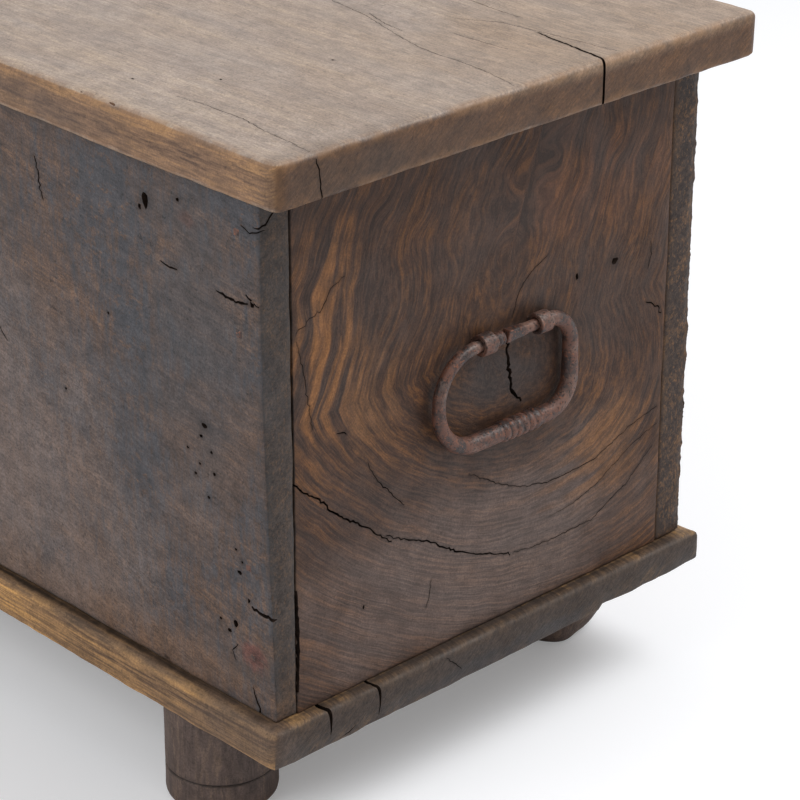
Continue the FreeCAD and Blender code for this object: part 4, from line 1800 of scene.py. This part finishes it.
# Ironwork
@dataclass
class ForgedIron:
    """A hand-forged piece: the exact form, hammered and pitted."""

    node: str
    body: str
    source: bpy.types.Object
    finish: bpy.types.Material
    voxel: float = 0.52 * MM
    dents: float = 0.3 * MM
    pits: float = 0.2 * MM
    dent_scale: float = 0.018
    pit_scale: float = 0.004
    merge: float = 0.005 * MM
    soften: float = 0.25
    rubbed: float = 0.12 * MM

    def build(self) -> bpy.types.Object:
        """Merges a copy of the frame's mesh, hammers it and dresses it.

        Returns:
            The forged piece.
        """
        mesh = self.source.data.copy()
        iron = bpy.data.objects.new(self.node + "_forged", mesh)
        mesh.name = iron.name
        bpy.context.scene.collection.objects.link(iron)
        Bench.edit(iron)
        bpy.ops.mesh.select_all(action="SELECT")
        bpy.ops.mesh.remove_doubles(threshold=self.merge)
        Bench.finish_mode()
        mesh.materials.clear()
        remesh = iron.modifiers.new("skin", "REMESH")
        remesh.mode = "VOXEL"
        remesh.voxel_size = self.voxel
        remesh.use_smooth_shade = True
        Bench.apply(iron, remesh)
        soften = iron.modifiers.new("soften", "SMOOTH")
        soften.factor = self.soften
        soften.iterations = 1
        Bench.apply(iron, soften)
        Bench.displace(iron, self.dent_scale, self.dents)
        Bench.displace(iron, self.pit_scale, self.pits, depth=3)
        self.fit(iron)
        iron.data.materials.append(self.finish)
        Bench.attribute(iron, "edge", self.worn_share(iron))
        Bench.take(iron)
        bpy.ops.object.shade_smooth()
        Bench.hand_over(iron, self.body, "forged_iron", [self.node])
        return iron

    def fit(self, iron: bpy.types.Object) -> None:
        """Hook for a piece with a bore."""

    def worn_share(self, iron: bpy.types.Object) -> np.ndarray:
        """Places that stand out and are rubbed, from how far a point lies outside its neighbours.

        Args:
            iron: the forged piece.

        Returns:
            1 for each point that stands out, 0 for each that lies deep.
        """
        mesh = iron.data
        places = Bench.points(iron)
        ends = np.empty(len(mesh.edges) * 2, np.int32)
        mesh.edges.foreach_get("vertices", ends)
        ends = ends.reshape(-1, 2)
        total = np.zeros_like(places)
        count = np.zeros(len(places))
        for a, b in ((0, 1), (1, 0)):
            np.add.at(total, ends[:, a], places[ends[:, b]])
            np.add.at(count, ends[:, a], 1.0)
        normals = np.empty(len(places) * 3, np.float32)
        mesh.vertices.foreach_get("normal", normals)
        lap = places - total / np.maximum(count, 1.0)[:, None]
        out = np.einsum("ij,ij->i", lap, normals.reshape(-1, 3))
        return ease(0.5 + out / self.rubbed)


@dataclass
class HingeIron(ForgedIron):
    """A hinge piece, whose knuckles turn round a pin along X."""

    pin: str = ""
    bore: float = 3.5 * MM
    wall: float = 4.4 * MM

    def fit(self, iron: bpy.types.Object) -> None:
        """Opens the hammered knuckles until they clear the pin.

        Args:
            iron: the forged piece.
        """
        lo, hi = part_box(self.pin)
        axis = np.array(((lo + hi) / 2)[1:])
        places = Bench.points(iron)
        arm = places[:, 1:] - axis
        away = np.hypot(arm[:, 0], arm[:, 1])
        inside = away < self.wall
        arm[inside] *= (np.maximum(away[inside], self.bore) / np.maximum(away[inside], TINY))[:, None]
        places[:, 1:] = axis + arm
        Bench.set_points(iron, places)


# Studio
@dataclass(frozen=True)
class Lamp:
    """A large soft lamp: where it hangs and points, its width and its watts."""

    name: str
    place: Triple
    aim: Triple
    size: float
    power: float

    def hang(self) -> None:
        """Adds the lamp to the scene."""
        data = bpy.data.lights.new(self.name, "AREA")
        data.size = self.size
        data.energy = self.power
        lamp = bpy.data.objects.new(self.name, data)
        lamp.location = self.place
        lamp.rotation_euler = (Vector(self.aim) - Vector(self.place)).to_track_quat("-Z", "Y").to_euler()
        bpy.context.scene.collection.objects.link(lamp)


@dataclass
class Studio:
    """White floor, soft light from behind on the right and from the front, and the camera."""

    lamps: tuple[Lamp, ...] = (
        Lamp("key", (1.7, 1.3, 2.8), (0.4, 0.0, 0.3), 1.8, 66.0),
        Lamp("fill", (-0.5, -2.7, 2.0), (0.2, -0.05, 0.3), 2.6, 42.0),
    )
    eye: Triple = (1.8390, -1.3323, 1.1561)
    lens: float = 130.07
    yaw: float = 46.13
    pitch: float = 25.06
    roll: float = 0.153
    ambient: float = 0.5
    floor_shade: Shade = Shade(240, 241, 244)
    floor_glow: float = 0.19
    floor_size: float = 24.0
    floor_rough: float = 0.9
    floor_gloss: float = 0.1
    sensor: float = 36.0
    nearest: float = 0.05

    def build(self) -> None:
        """Sets up camera, world, lamps and floor."""
        self.camera()
        self.world()
        for lamp in self.lamps:
            lamp.hang()
        self.floor()
        bpy.context.scene.view_settings.view_transform = "Standard"

    def camera(self) -> None:
        """Places the camera where the photographer stood."""
        data = bpy.data.cameras.new("camera")
        data.lens = self.lens
        data.sensor_width = self.sensor
        data.clip_start = self.nearest
        camera = bpy.data.objects.new("camera", data)
        camera.location = self.eye
        turn = Matrix.Rotation(math.radians(self.yaw), 3, "Z")
        turn = turn @ Matrix.Rotation(math.radians(90.0 - self.pitch), 3, "X")
        turn = turn @ Matrix.Rotation(math.radians(self.roll), 3, "Z")
        camera.rotation_euler = turn.to_euler()
        bpy.context.scene.collection.objects.link(camera)
        bpy.context.scene.camera = camera

    def world(self) -> None:
        """A white room that is dimmer as a light than as a background."""
        world = bpy.data.worlds.new("studio")
        world.use_nodes = True
        bpy.context.scene.world = world
        s = NodeSketch(world.node_tree)
        back = world.node_tree.nodes["Background"]
        back.inputs["Color"].default_value = (1.0, 1.0, 1.0, 1.0)
        path = s.add("ShaderNodeLightPath")
        seen = s.calc("ADD", path.outputs["Is Camera Ray"], path.outputs["Is Glossy Ray"])
        seen = s.calc("ADD", seen, path.outputs["Is Transmission Ray"], clamp=True)
        s.feed(back.inputs["Strength"], s.step(seen, 0.0, 1.0, self.ambient, 1.0))

    def floor(self) -> None:
        """A pale floor that keeps the chest's shadow."""
        Bench.clear()
        bpy.ops.mesh.primitive_grid_add(x_subdivisions=2, y_subdivisions=2, size=self.floor_size,
                                        location=(0.0, 0.0, 0.0))
        floor = bpy.context.object
        floor.name = "floor"
        material, s, shader = new_material("white_floor")
        shader.inputs["Base Color"].default_value = self.floor_shade.linear
        shader.inputs["Roughness"].default_value = self.floor_rough
        shader.inputs["Specular IOR Level"].default_value = self.floor_gloss
        glow = s.add("ShaderNodeEmission")
        path = s.add("ShaderNodeLightPath")
        s.feed(glow.inputs["Strength"], s.calc("MULTIPLY", path.outputs["Is Camera Ray"], self.floor_glow))
        both = s.add("ShaderNodeAddShader")
        s.feed(both.inputs[0], shader.outputs[0])
        s.feed(both.inputs[1], glow.outputs[0])
        s.feed(material.node_tree.nodes["Material Output"].inputs["Surface"], both.outputs[0])
        floor.data.materials.append(material)


# The chest's woods
RAW_INSIDE = Tone(Shade(66, 51, 41), Shade(92, 71, 55), Shade(116, 90, 68))
DARK_END = Tone(Shade(52, 45, 41), Shade(63, 55, 51), Shade(80, 66, 56))
DARK_SIDE = Tone(Shade(48, 42, 40), Shade(66, 56, 52), Shade(84, 70, 60))
JOINT = Shade(20, 16, 14)
FRONT_JOINT = Patch((550.0, -190.5, 300.0), (4.0, 1.0, 230.0), JOINT, 0.85, 140.0, 0.3)
BACK_JOINT = Patch((550.0, 181.0, 300.0), (4.0, 0.9, 230.0), JOINT, 0.7, 140.0, 0.3)

FRONT_WOOD = WoodFinish(
    name="front_wood", outward=Face.FRONT, grain=0, pores=0.16, slant=-10.0, wander=0.12, show=0.12,
    face=Tone(Shade(76, 64, 58), Shade(90, 74, 66), Shade(110, 86, 70)),
    side=DARK_SIDE, end=DARK_END, inner=RAW_INSIDE,
    # Painted sheen: the blue-grey film on the front is partly old polish and partly painted reflected light
    film_and_sheen=Shade(68, 70, 75), film_and_sheen_share=0.85, film_and_sheen_scale=(210.0, 210.0, 36.0),
    edge=Shade(66, 65, 66), edge_share=0.5, relief=0.65, gloss=0.22, grit=1.4,
    patches=(
        Patch((300.0, -210.0, 122.0), (460.0, 60.0, 40.0), Shade(124, 92, 66), 0.4, 60.0, 0.05),
        # Painted sheen: a paler, greyer haze over much of the front, centred low
        Patch((140.0, -213.0, 220.0), (420.0, 60.0, 230.0), Shade(124, 109, 102), 0.6, 16.0, 0.2),
        # Blue-grey slate on the upper right of the front: partly old polish, partly painted sheen
        Patch((480.0, -215.0, 390.0), (90.0, 60.0, 130.0), Shade(70, 72, 76), 0.55, 24.0, 0.2),
        Patch((530.0, -210.0, 157.0), (17.0, 20.0, 15.0), Shade(104, 66, 58), 0.8, 190.0, 0.3),
        Patch((530.0, -210.0, 156.0), (8.0, 20.0, 7.0), Shade(58, 40, 37), 0.8, 260.0, 0.2),
        Patch((478.0, -217.0, 466.0), (10.0, 20.0, 9.0), Shade(90, 66, 58), 0.6, 200.0, 0.3),
        Patch((0.0, -210.0, 111.0), (900.0, 40.0, 3.4), JOINT, 0.8, 60.0, 0.2),
        FRONT_JOINT,
    ),
)

BACK_WOOD = WoodFinish(
    name="back_wood", outward=Face.BACK, grain=0, slant=-6.0, wander=0.045, pores=0.42,
    face=Tone(Shade(58, 48, 43), Shade(82, 67, 58), Shade(112, 88, 70)),
    side=DARK_SIDE, end=Tone(Shade(46, 38, 35), Shade(62, 51, 46), Shade(98, 74, 54)), inner=RAW_INSIDE,
    film_and_sheen=Shade(70, 71, 74), film_and_sheen_share=0.5, edge=Shade(84, 66, 52), edge_share=0.5, shift=(0.4, 0.9, 0.2),
    gloss=0.2, patches=(BACK_JOINT,),
)

RIGHT_END_WOOD = WoodFinish(
    name="right_end_wood", outward=Face.RIGHT, grain=2, figure=Figure.CATHEDRAL, wander=0.014,
    face=Tone(Shade(47, 33, 26), Shade(70, 49, 38), Shade(102, 69, 44)),
    side=DARK_END, end=DARK_END, inner=RAW_INSIDE,
    film_and_sheen=Shade(68, 56, 51), film_and_sheen_share=0.4, film_and_sheen_scale=(22.0, 22.0, 22.0), edge_share=0.1, relief=0.55,
    gloss=0.22,
    patches=(
        Patch((550.0, -20.0, 160.0), (60.0, 240.0, 120.0), Shade(106, 92, 86), 0.6, 18.0, 0.2),
        Patch((550.0, -162.0, 380.0), (30.0, 44.0, 118.0), Shade(141, 95, 55), 0.72, 50.0, 0.2, True),
        Patch((550.0, -120.0, 330.0), (30.0, 40.0, 80.0), Shade(122, 86, 56), 0.5, 50.0, 0.2, True),
        Patch((550.0, 90.0, 430.0), (40.0, 120.0, 60.0), Shade(104, 68, 48), 0.4, 26.0, 0.1, True),
        Patch((550.0, 0.0, 306.0), (30.0, 62.0, 32.0), Shade(54, 47, 45), 0.7, 30.0, 0.4),
        Patch((550.0, 110.0, 215.0), (40.0, 80.0, 60.0), Shade(132, 92, 58), 0.55, 40.0, 0.1, True),
        # Painted shadow: a darker band at the top of the end board, under the lid's overhang
        Patch((550.0, 0.0, 501.0), (60.0, 300.0, 16.0), Shade(42, 34, 30), 0.6, 30.0, 0.1),
        FRONT_JOINT,
        BACK_JOINT,
        Patch((550.0, 0.0, 111.0), (40.0, 300.0, 3.0), JOINT, 0.8, 80.0, 0.3),
    ),
)

LEFT_END_WOOD = replace(
    RIGHT_END_WOOD, name="left_end_wood", outward=Face.LEFT, mirrored=True, wander=0.018,
    shift=(0.0, 0.05, -0.03),
    patches=(
        Patch((-550.0, 20.0, 160.0), (60.0, 240.0, 120.0), Shade(106, 92, 86), 0.6, 18.0, 0.2),
        Patch((-550.0, 0.0, 306.0), (30.0, 62.0, 32.0), Shade(54, 47, 45), 0.7, 30.0, 0.4),
        Patch((-550.0, 130.0, 380.0), (40.0, 60.0, 90.0), Shade(140, 96, 58), 0.5, 40.0, 0.1, True),
        # Painted shadow: a darker band at the top of the end board, under the lid's overhang
        Patch((-550.0, 0.0, 501.0), (60.0, 300.0, 16.0), Shade(42, 34, 30), 0.6, 30.0, 0.1),
    ),
)

LID_WOOD = WoodFinish(
    name="lid_wood", outward=Face.TOP, grain=0, wander=0.035, shift=(0.2, 0.35, 0.1),
    face=Tone(Shade(134, 118, 107), Shade(149, 132, 119), Shade(166, 147, 129)),
    side=Tone(Shade(88, 66, 51), Shade(130, 100, 76), Shade(162, 124, 86)),
    end=Tone(Shade(72, 52, 38), Shade(85, 61, 44), Shade(102, 73, 50)),
    inner=Tone(Shade(74, 58, 47), Shade(102, 80, 62), Shade(126, 99, 76)),
    film_and_sheen=Shade(156, 146, 140), film_and_sheen_share=0.25, film_and_sheen_scale=(9.0, 26.0, 26.0),
    edge=Shade(146, 108, 72), edge_share=0.5, rough=(0.4, 0.56), gloss=0.3, relief=0.35,
    patches=(
        Patch((330.0, -232.0, 514.0), (170.0, 12.0, 24.0), Shade(92, 75, 65), 0.6, 26.0, 0.1),
        Patch((560.0, 80.0, 534.0), (260.0, 280.0, 12.0), Shade(138, 117, 98), 0.75, 10.0, 0.1),
        Patch((577.0, -160.0, 514.0), (20.0, 120.0, 34.0), Shade(66, 52, 43), 0.7, 20.0, 0.1),
        # Painted highlight: pale lines along the lower arrises of the lid's front and right-hand end, where
        # light from below would catch them
        Patch((0.0, -232.0, 503.0), (900.0, 8.0, 2.4), Shade(160, 144, 130), 0.5, 90.0, 0.2),
        Patch((577.0, 0.0, 503.0), (8.0, 300.0, 2.2), Shade(150, 136, 124), 0.5, 90.0, 0.2),
    ),
)

BASE_WOOD = WoodFinish(
    name="base_wood", outward=Face.UNDER, grain=0, wander=0.03, length=2.6, shift=(0.7, 0.1, 0.3),
    face=Tone(Shade(58, 45, 36), Shade(80, 62, 48), Shade(100, 78, 58)),
    side=Tone(Shade(86, 64, 46), Shade(146, 112, 76), Shade(200, 152, 92)),
    end=Tone(Shade(50, 43, 40), Shade(68, 58, 52), Shade(96, 77, 60)),
    inner=Tone(Shade(76, 60, 47), Shade(112, 88, 66), Shade(160, 124, 82)),
    film_and_sheen=Shade(80, 66, 56), film_and_sheen_share=0.0, edge=Shade(120, 92, 62), edge_share=0.1, gloss=0.25, grit=1.1,
    patches=(
        Patch((0.0, -212.0, 111.0), (900.0, 4.0, 6.0), JOINT, 0.85, 90.0, 0.2),
        Patch((552.0, 0.0, 111.0), (4.0, 300.0, 6.0), JOINT, 0.85, 90.0, 0.2),
        Patch((540.0, -215.0, 98.0), (150.0, 24.0, 30.0), Shade(82, 68, 60), 0.75, 22.0, 0.2),
        Patch((560.0, 0.0, 104.0), (18.0, 290.0, 18.0), Shade(60, 50, 44), 0.85, 34.0, 0.6),
        Patch((562.0, 0.0, 88.0), (12.0, 170.0, 11.0), Shade(52, 49, 50), 0.7, 60.0, 0.3),
        Patch((0.0, 0.0, 114.0), (505.0, 180.0, 12.0), Shade(84, 66, 52), 0.95, 30.0, 0.8),
    ),
)

FOOT_WOOD = WoodFinish(
    name="foot_wood", outward=Face.UNDER, grain=2, wander=0.02,
    face=DARK_END, side=Tone(Shade(72, 60, 55), Shade(88, 74, 68), Shade(106, 88, 76)), end=DARK_END,
    inner=DARK_END, film_and_sheen_share=0.0, edge=Shade(120, 92, 66), edge_share=0.4, gloss=0.22,
)

# Flaws, in millimetres: front and back (x, z), ends (y, z), top (x, y)
FRONT_FLAWS: tuple[Flaw, ...] = (
    Hole(Face.FRONT, (436.0, 467.0), (7.0, 12.0), 9.0, 9.0),
    Hole(Face.FRONT, (430.0, 461.0), (3.0, 4.0), 5.0, 5.0),
    Hole(Face.FRONT, (470.0, 477.0), (3.0, 3.0), 5.0, 5.0),
    Hole(Face.FRONT, (542.0, 425.0), (3.5, 4.5), 6.0, 5.0),
    Crack(Face.FRONT, ((450.0, 428.0), (459.0, 426.0), (467.0, 427.0)), 1.36, 5.0),
    Crack(Face.FRONT, ((507.0, 424.0), (516.0, 423.0), (526.0, 422.0), (538.0, 424.0)), 2.11, 5.0),
    Crack(Face.FRONT, ((536.0, 430.0), (541.0, 427.0), (548.0, 424.0)), 1.61, 4.0),
    Crack(Face.FRONT, ((533.0, 477.0), (541.0, 474.0), (548.0, 476.0), (553.0, 479.0)), 0.87, 6.0, 0.2, 1.0),
    Crack(Face.RIGHT, ((-220.0, 478.0), (-212.0, 481.0), (-204.0, 489.0), (-191.0, 494.0)),
          1.36, 6.0, 1.0, 1.0),
    Crack(Face.FRONT, ((316.0, 466.0), (319.0, 456.0), (320.0, 446.0), (323.0, 436.0)), 1.49, 3.0, rough=1.4),
    Hole(Face.FRONT, (489.0, 320.0), (5.6, 4.2), 3.0, 9.0),
    Hole(Face.FRONT, (485.0, 311.0), (3.0, 2.6), 5.0),
    Hole(Face.FRONT, (470.0, 297.0), (2.4, 2.0), 5.0),
    Hole(Face.FRONT, (495.0, 302.0), (2.6, 2.2), 5.0),
    Hole(Face.FRONT, (482.0, 289.0), (2.2, 2.0), 5.0),
    Hole(Face.FRONT, (477.0, 280.0), (2.8, 2.2), 5.0),
    Hole(Face.FRONT, (497.0, 286.0), (2.4, 3.0), 5.0),
    Hole(Face.FRONT, (490.0, 266.0), (3.0, 2.4), 5.0),
    Hole(Face.FRONT, (519.0, 219.0), (4.6, 3.6), 6.0),
    Hole(Face.FRONT, (522.0, 228.0), (2.0, 2.0), 5.0),
    Hole(Face.FRONT, (516.0, 236.0), (2.2, 2.0), 5.0),
    Hole(Face.FRONT, (512.0, 176.0), (4.6, 6.0), 6.0, 6.0),
    Hole(Face.FRONT, (505.0, 168.0), (4.0, 3.0), 5.0),
    Hole(Face.FRONT, (496.0, 174.0), (2.6, 2.2), 5.0),
    Hole(Face.FRONT, (527.0, 200.0), (2.6, 4.0), 5.0),
    Crack(Face.FRONT, ((513.0, 160.0), (507.0, 153.0), (510.0, 146.0)), 0.74, 4.0),
    Crack(Face.FRONT, ((530.0, 197.0), (537.0, 194.0), (544.0, 195.0), (553.0, 192.0)),
          2.8, 5.0, 0.2, 1.0, 1.6),
    Crack(Face.FRONT, ((527.0, 131.0), (530.0, 122.0), (533.0, 116.0), (531.0, 109.0)), 1.74, 6.0, 0.2, 1.0),
    Chip(Face.FRONT, (430.0, 113.0), (16.0, 8.0, 3.0)),
    Hole(Face.FRONT, (336.0, 296.0), (2.4, 2.0), 4.0, 3.0),
    Hole(Face.FRONT, (391.0, 372.0), (2.0, 2.2), 4.0, 3.0),
    Crack(Face.FRONT, ((255.0, 330.0), (263.0, 318.0), (270.0, 312.0)), 0.87, 3.0),
)

RIGHT_END_FLAWS: tuple[Flaw, ...] = (
    Crack(Face.RIGHT, ((-192.0, 290.0), (-178.0, 276.0), (-168.0, 270.0), (-160.0, 261.0), (-150.0, 251.0),
                       (-138.0, 242.0), (-124.0, 233.0), (-112.0, 222.0), (-101.0, 214.0)),
          1.49, 8.0, 0.7, 0.2, 1.4),
    Crack(Face.RIGHT, ((-106.0, 220.0), (-87.0, 210.0), (-65.0, 201.0), (-49.0, 190.0), (-34.0, 181.0),
                       (-15.0, 172.0), (19.0, 160.0)), 1.24, 7.0, 0.3, 0.5, 1.0),
    Crack(Face.RIGHT, ((23.0, 160.0), (40.0, 157.0), (65.0, 156.0), (106.0, 157.0), (143.0, 174.0),
                       (172.0, 196.0)), 0.56, 4.0, 0.5, 0.1, 0.7),
    Crack(Face.RIGHT, ((-25.0, 240.0), (9.0, 220.0), (30.0, 211.0), (54.0, 206.0), (74.0, 205.0),
                       (107.0, 207.0), (146.0, 222.0), (176.0, 228.0)), 0.68, 4.0, 0.1, 0.4, 0.7),
    Crack(Face.RIGHT, ((60.0, 176.0), (86.0, 178.0), (112.0, 186.0), (150.0, 206.0), (176.0, 214.0)),
          0.5, 3.0, 0.1, 0.2, 0.6),
    Crack(Face.RIGHT, ((-123.0, 282.0), (-120.0, 274.0), (-114.0, 265.0), (-107.0, 258.0), (-98.0, 247.0),
                       (-89.0, 238.0)), 0.74, 5.0, 0.1, 0.1, 0.8),
    Crack(Face.RIGHT, ((11.0, 332.0), (12.0, 321.0), (13.0, 313.0), (15.0, 304.0), (17.0, 294.0),
                       (21.0, 286.0), (27.0, 281.0)), 3.0, 9.0, 0.7, 0.4, 1.2),
    Crack(Face.RIGHT, ((50.0, 386.0), (39.0, 381.0), (32.0, 377.0), (25.0, 370.0), (20.0, 362.0),
                       (16.0, 349.0)), 0.56, 4.0, 0.1, 0.3, 0.5),
    Crack(Face.RIGHT, ((-187.0, 392.0), (-183.0, 376.0), (-180.0, 362.0), (-178.0, 347.0), (-174.0, 324.0)),
          0.56, 4.0, 0.2, 0.1, 1.0),
    Crack(Face.RIGHT, ((-187.0, 398.0), (-179.0, 401.0), (-175.0, 405.0), (-166.0, 407.0), (-161.0, 414.0),
                       (-155.0, 423.0), (-144.0, 426.0)), 0.5, 3.0, 0.2, 0.1, 1.2),
    Crack(Face.RIGHT, ((158.0, 319.0), (164.0, 316.0), (169.0, 313.0), (176.0, 305.0)), 1.24, 5.0, rough=1.2),
    Crack(Face.RIGHT, ((161.0, 366.0), (162.0, 356.0), (159.0, 346.0)), 0.62, 3.0, rough=1.4),
    Crack(Face.RIGHT, ((-152.0, 314.0), (-147.0, 313.0), (-143.0, 311.0)), 0.99, 4.0),
    Crack(Face.RIGHT, ((-62.0, 168.0), (-64.0, 156.0), (-67.0, 148.0)), 0.5, 3.0),
    Crack(Face.RIGHT, ((-190.2, 208.0), (-189.6, 186.0), (-189.2, 160.0), (-189.8, 128.0)),
          3.0, 8.0, 0.1, 0.1, 0.4),
    Hole(Face.RIGHT, (82.0, 361.0), (3.2, 4.4), 7.0, 5.0),
    Hole(Face.RIGHT, (122.0, 362.0), (7.0, 5.0), 2.6, 8.0),
    Hole(Face.RIGHT, (-128.0, 172.0), (2.0, 3.0), 4.0, 3.0),
)

LID_FLAWS: tuple[Flaw, ...] = (
    Crack(Face.TOP, ((590.0, 65.0), (576.0, 70.0), (549.0, 74.0), (529.0, 76.0), (509.0, 79.0)), 2.2, 60.0,
          1.0, 0.1, 0.5, 0.8, 3.0),
    Crack(Face.TOP, ((474.0, 95.0), (453.0, 96.0), (420.0, 98.0)), 0.5, 4.0, 0.1, 0.1, 0.5, halo=0.9),
    Crack(Face.TOP, ((577.0, -15.0), (567.0, -12.0), (541.0, -7.0), (516.0, -5.0), (498.0, -6.0),
                     (476.0, -4.0), (449.0, 3.0), (397.0, 19.0), (352.0, 26.0)),
          0.42, 4.0, 0.15, 0.5, 0.5, halo=0.9),
    Crack(Face.TOP, ((440.0, 14.0), (420.0, 16.0), (396.0, 24.0)), 0.5, 4.0, 0.1, 0.1, 0.5, halo=0.9),
    Crack(Face.TOP, ((574.0, 89.0), (525.0, 84.0), (474.0, 77.0), (446.0, 60.0)),
          0.36, 3.0, 0.1, 0.1, 0.5, halo=0.7),
    Crack(Face.TOP, ((520.0, 38.0), (496.0, 36.0), (470.0, 35.0)), 0.36, 3.0, 0.1, 0.1, 0.5, halo=0.7),
    Crack(Face.TOP, ((577.0, -198.0), (571.0, -198.0), (556.0, -196.0), (530.0, -194.0), (503.0, -189.0),
                     (471.0, -189.0), (440.0, -191.0)), 0.4, 3.0, 0.2, 0.1, 0.5, halo=0.9),
    Crack(Face.RIGHT, ((-197.0, 530.0), (-195.0, 520.0), (-194.0, 510.0), (-191.0, 499.0)),
          1.12, 7.0, 0.4, 1.0, 0.5),
    Chip(Face.TOP, (388.0, -231.0), (8.0, 3.4, 1.4), 6.0),
    Chip(Face.TOP, (421.0, -230.5), (11.0, 4.0, 1.6), -8.0),
    Hole(Face.TOP, (434.0, -148.0), (2.2, 1.8), 3.0, 2.0),
    Hole(Face.TOP, (393.0, -190.0), (2.2, 1.8), 3.0, 2.0),
    Hole(Face.TOP, (455.0, -66.0), (2.0, 1.6), 3.0, 2.0),
    Crack(Face.LEFT, ((120.0, 532.0), (121.0, 516.0), (118.0, 500.0)), 0.87, 7.0, 0.6, 1.0, 0.5),
    Crack(Face.TOP, ((-576.0, 120.0), (-540.0, 117.0), (-490.0, 118.0), (-430.0, 112.0)),
          0.81, 5.0, 0.9, 0.1, 0.5),
    Crack(Face.TOP, ((-577.0, -90.0), (-520.0, -86.0), (-440.0, -88.0)), 0.56, 4.0, 0.6, 0.1, 0.5),
)

BASE_FLAWS: tuple[Flaw, ...] = (
    Crack(Face.TOP, ((570.0, -170.0), (562.0, -170.5), (552.0, -173.0), (541.0, -171.0)),
          3.4, 20.0, 1.0, 0.2, 0.8),
    Crack(Face.TOP, ((570.0, -121.0), (562.0, -123.0), (552.0, -126.0), (541.0, -124.0)),
          3.0, 24.0, 1.0, 0.2, 0.8),
    Crack(Face.RIGHT, ((-146.0, 89.0), (-152.0, 86.0), (-160.0, 83.0)), 0.87, 8.0, 0.5, 0.5, 0.8),
    Crack(Face.RIGHT, ((-57.0, 107.0), (-50.0, 101.0), (-42.0, 93.0)), 0.62, 4.0, 0.3, 0.1, 0.8),
)

BACK_FLAWS: tuple[Flaw, ...] = (
    Crack(Face.BACK, ((-560.0, 300.0), (-500.0, 296.0), (-430.0, 301.0), (-360.0, 299.0)),
          1.12, 7.0, 1.0, 0.1, 1.0),
    Crack(Face.BACK, ((560.0, 214.0), (510.0, 217.0), (450.0, 212.0), (396.0, 214.0)),
          0.99, 7.0, 1.0, 0.1, 1.0),
    Crack(Face.BACK, ((-120.0, 405.0), (-40.0, 410.0), (60.0, 404.0), (130.0, 406.0)),
          0.56, 4.0, 0.1, 0.1, 0.8),
    Hole(Face.BACK, (120.0, 260.0), (9.0, 7.0), 4.0, 9.0),
)

LEFT_END_FLAWS: tuple[Flaw, ...] = (
    Crack(Face.LEFT, ((160.0, 250.0), (110.0, 205.0), (60.0, 182.0), (10.0, 170.0), (-50.0, 176.0)),
          0.99, 7.0, 0.5, 0.1, 1.0),
    Crack(Face.LEFT, ((-60.0, 440.0), (-64.0, 410.0), (-60.0, 380.0)), 0.62, 4.0, 0.2, 0.1, 0.8),
    Hole(Face.LEFT, (-110.0, 350.0), (3.0, 4.0), 6.0, 5.0),
)

# How much each foot's sole is rounded, and how far it is rubbed away
FOOT_WEAR: dict[str, Pair] = {
    "front_right": (6.0 * MM, 0.0),
    "front_left": (13.0 * MM, 0.0),
    "back_right": (13.0 * MM, 0.3),
    "back_left": (13.0 * MM, 0.0),
}

# Words in the names of the forged pieces that have no bore
IRON_WORDS = ("bail", "staple", "nails")


def main() -> None:
    """Builds the chest, piece by piece, and the studio round it."""
    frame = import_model()
    chip = SeamFinish("raw_chip", Shade(64, 48, 40), Shade(112, 84, 66))
    seams = (SeamFinish().material(), chip.material())
    iron = IronFinish().material()
    Studio().build()
    planks: list[Plank] = [
        FrontPlank("front_board", Face.FRONT, FRONT_WOOD, seams, "dark_plank", flaws=FRONT_FLAWS,
                   arris=2.4 * MM, seed=3),
        BackPlank("back_board", Face.BACK, BACK_WOOD, seams, "dark_plank", flaws=BACK_FLAWS,
                  arris=2.4 * MM, seed=5),
        Plank("right_end_board", Face.RIGHT, RIGHT_END_WOOD, seams, "end_plank", flaws=RIGHT_END_FLAWS,
              arris=1.0 * MM, nicks=1.0 * MM, seed=7),
        Plank("left_end_board", Face.LEFT, LEFT_END_WOOD, seams, "end_plank", flaws=LEFT_END_FLAWS,
              arris=1.0 * MM, nicks=1.0 * MM, seed=9),
        LidPlank("lid_board", Face.TOP, LID_WOOD, seams, "lid_plank", "lid", rim=8.0 * MM,
                 flaws=LID_FLAWS, seed=11),
        BottomPlank("bottom_board", Face.UNDER, BASE_WOOD, seams, "base_plank", rim=13.0 * MM,
                    flaws=BASE_FLAWS, seed=13),
    ]
    for plank in planks:
        plank.build()
    foot_wood = FOOT_WOOD.material()
    for name, (worn, rubbed) in FOOT_WEAR.items():
        Foot("foot_" + name, foot_wood, worn=worn, rubbed=rubbed).build()
    for body, nodes in frame["record"]["behaviour"]["bodies"].items():
        for node in nodes:
            source = frame["nodes"][node]
            if node.endswith(("_hinge_strap", "_hinge_leaf")):
                pin = node.rsplit("_", 1)[0] + "_pin"
                HingeIron(node, body, source, iron, pin=pin).build()
            elif node.endswith("_hinge_pin"):
                ForgedIron(node, body, source, iron, voxel=0.4 * MM, dents=0.1 * MM, pits=0.05 * MM).build()
            elif any(word in node for word in IRON_WORDS):
                ForgedIron(node, body, source, iron).build()


if __name__ == "__main__":
    logging.basicConfig(level=logging.INFO, format="%(message)s")
    main()
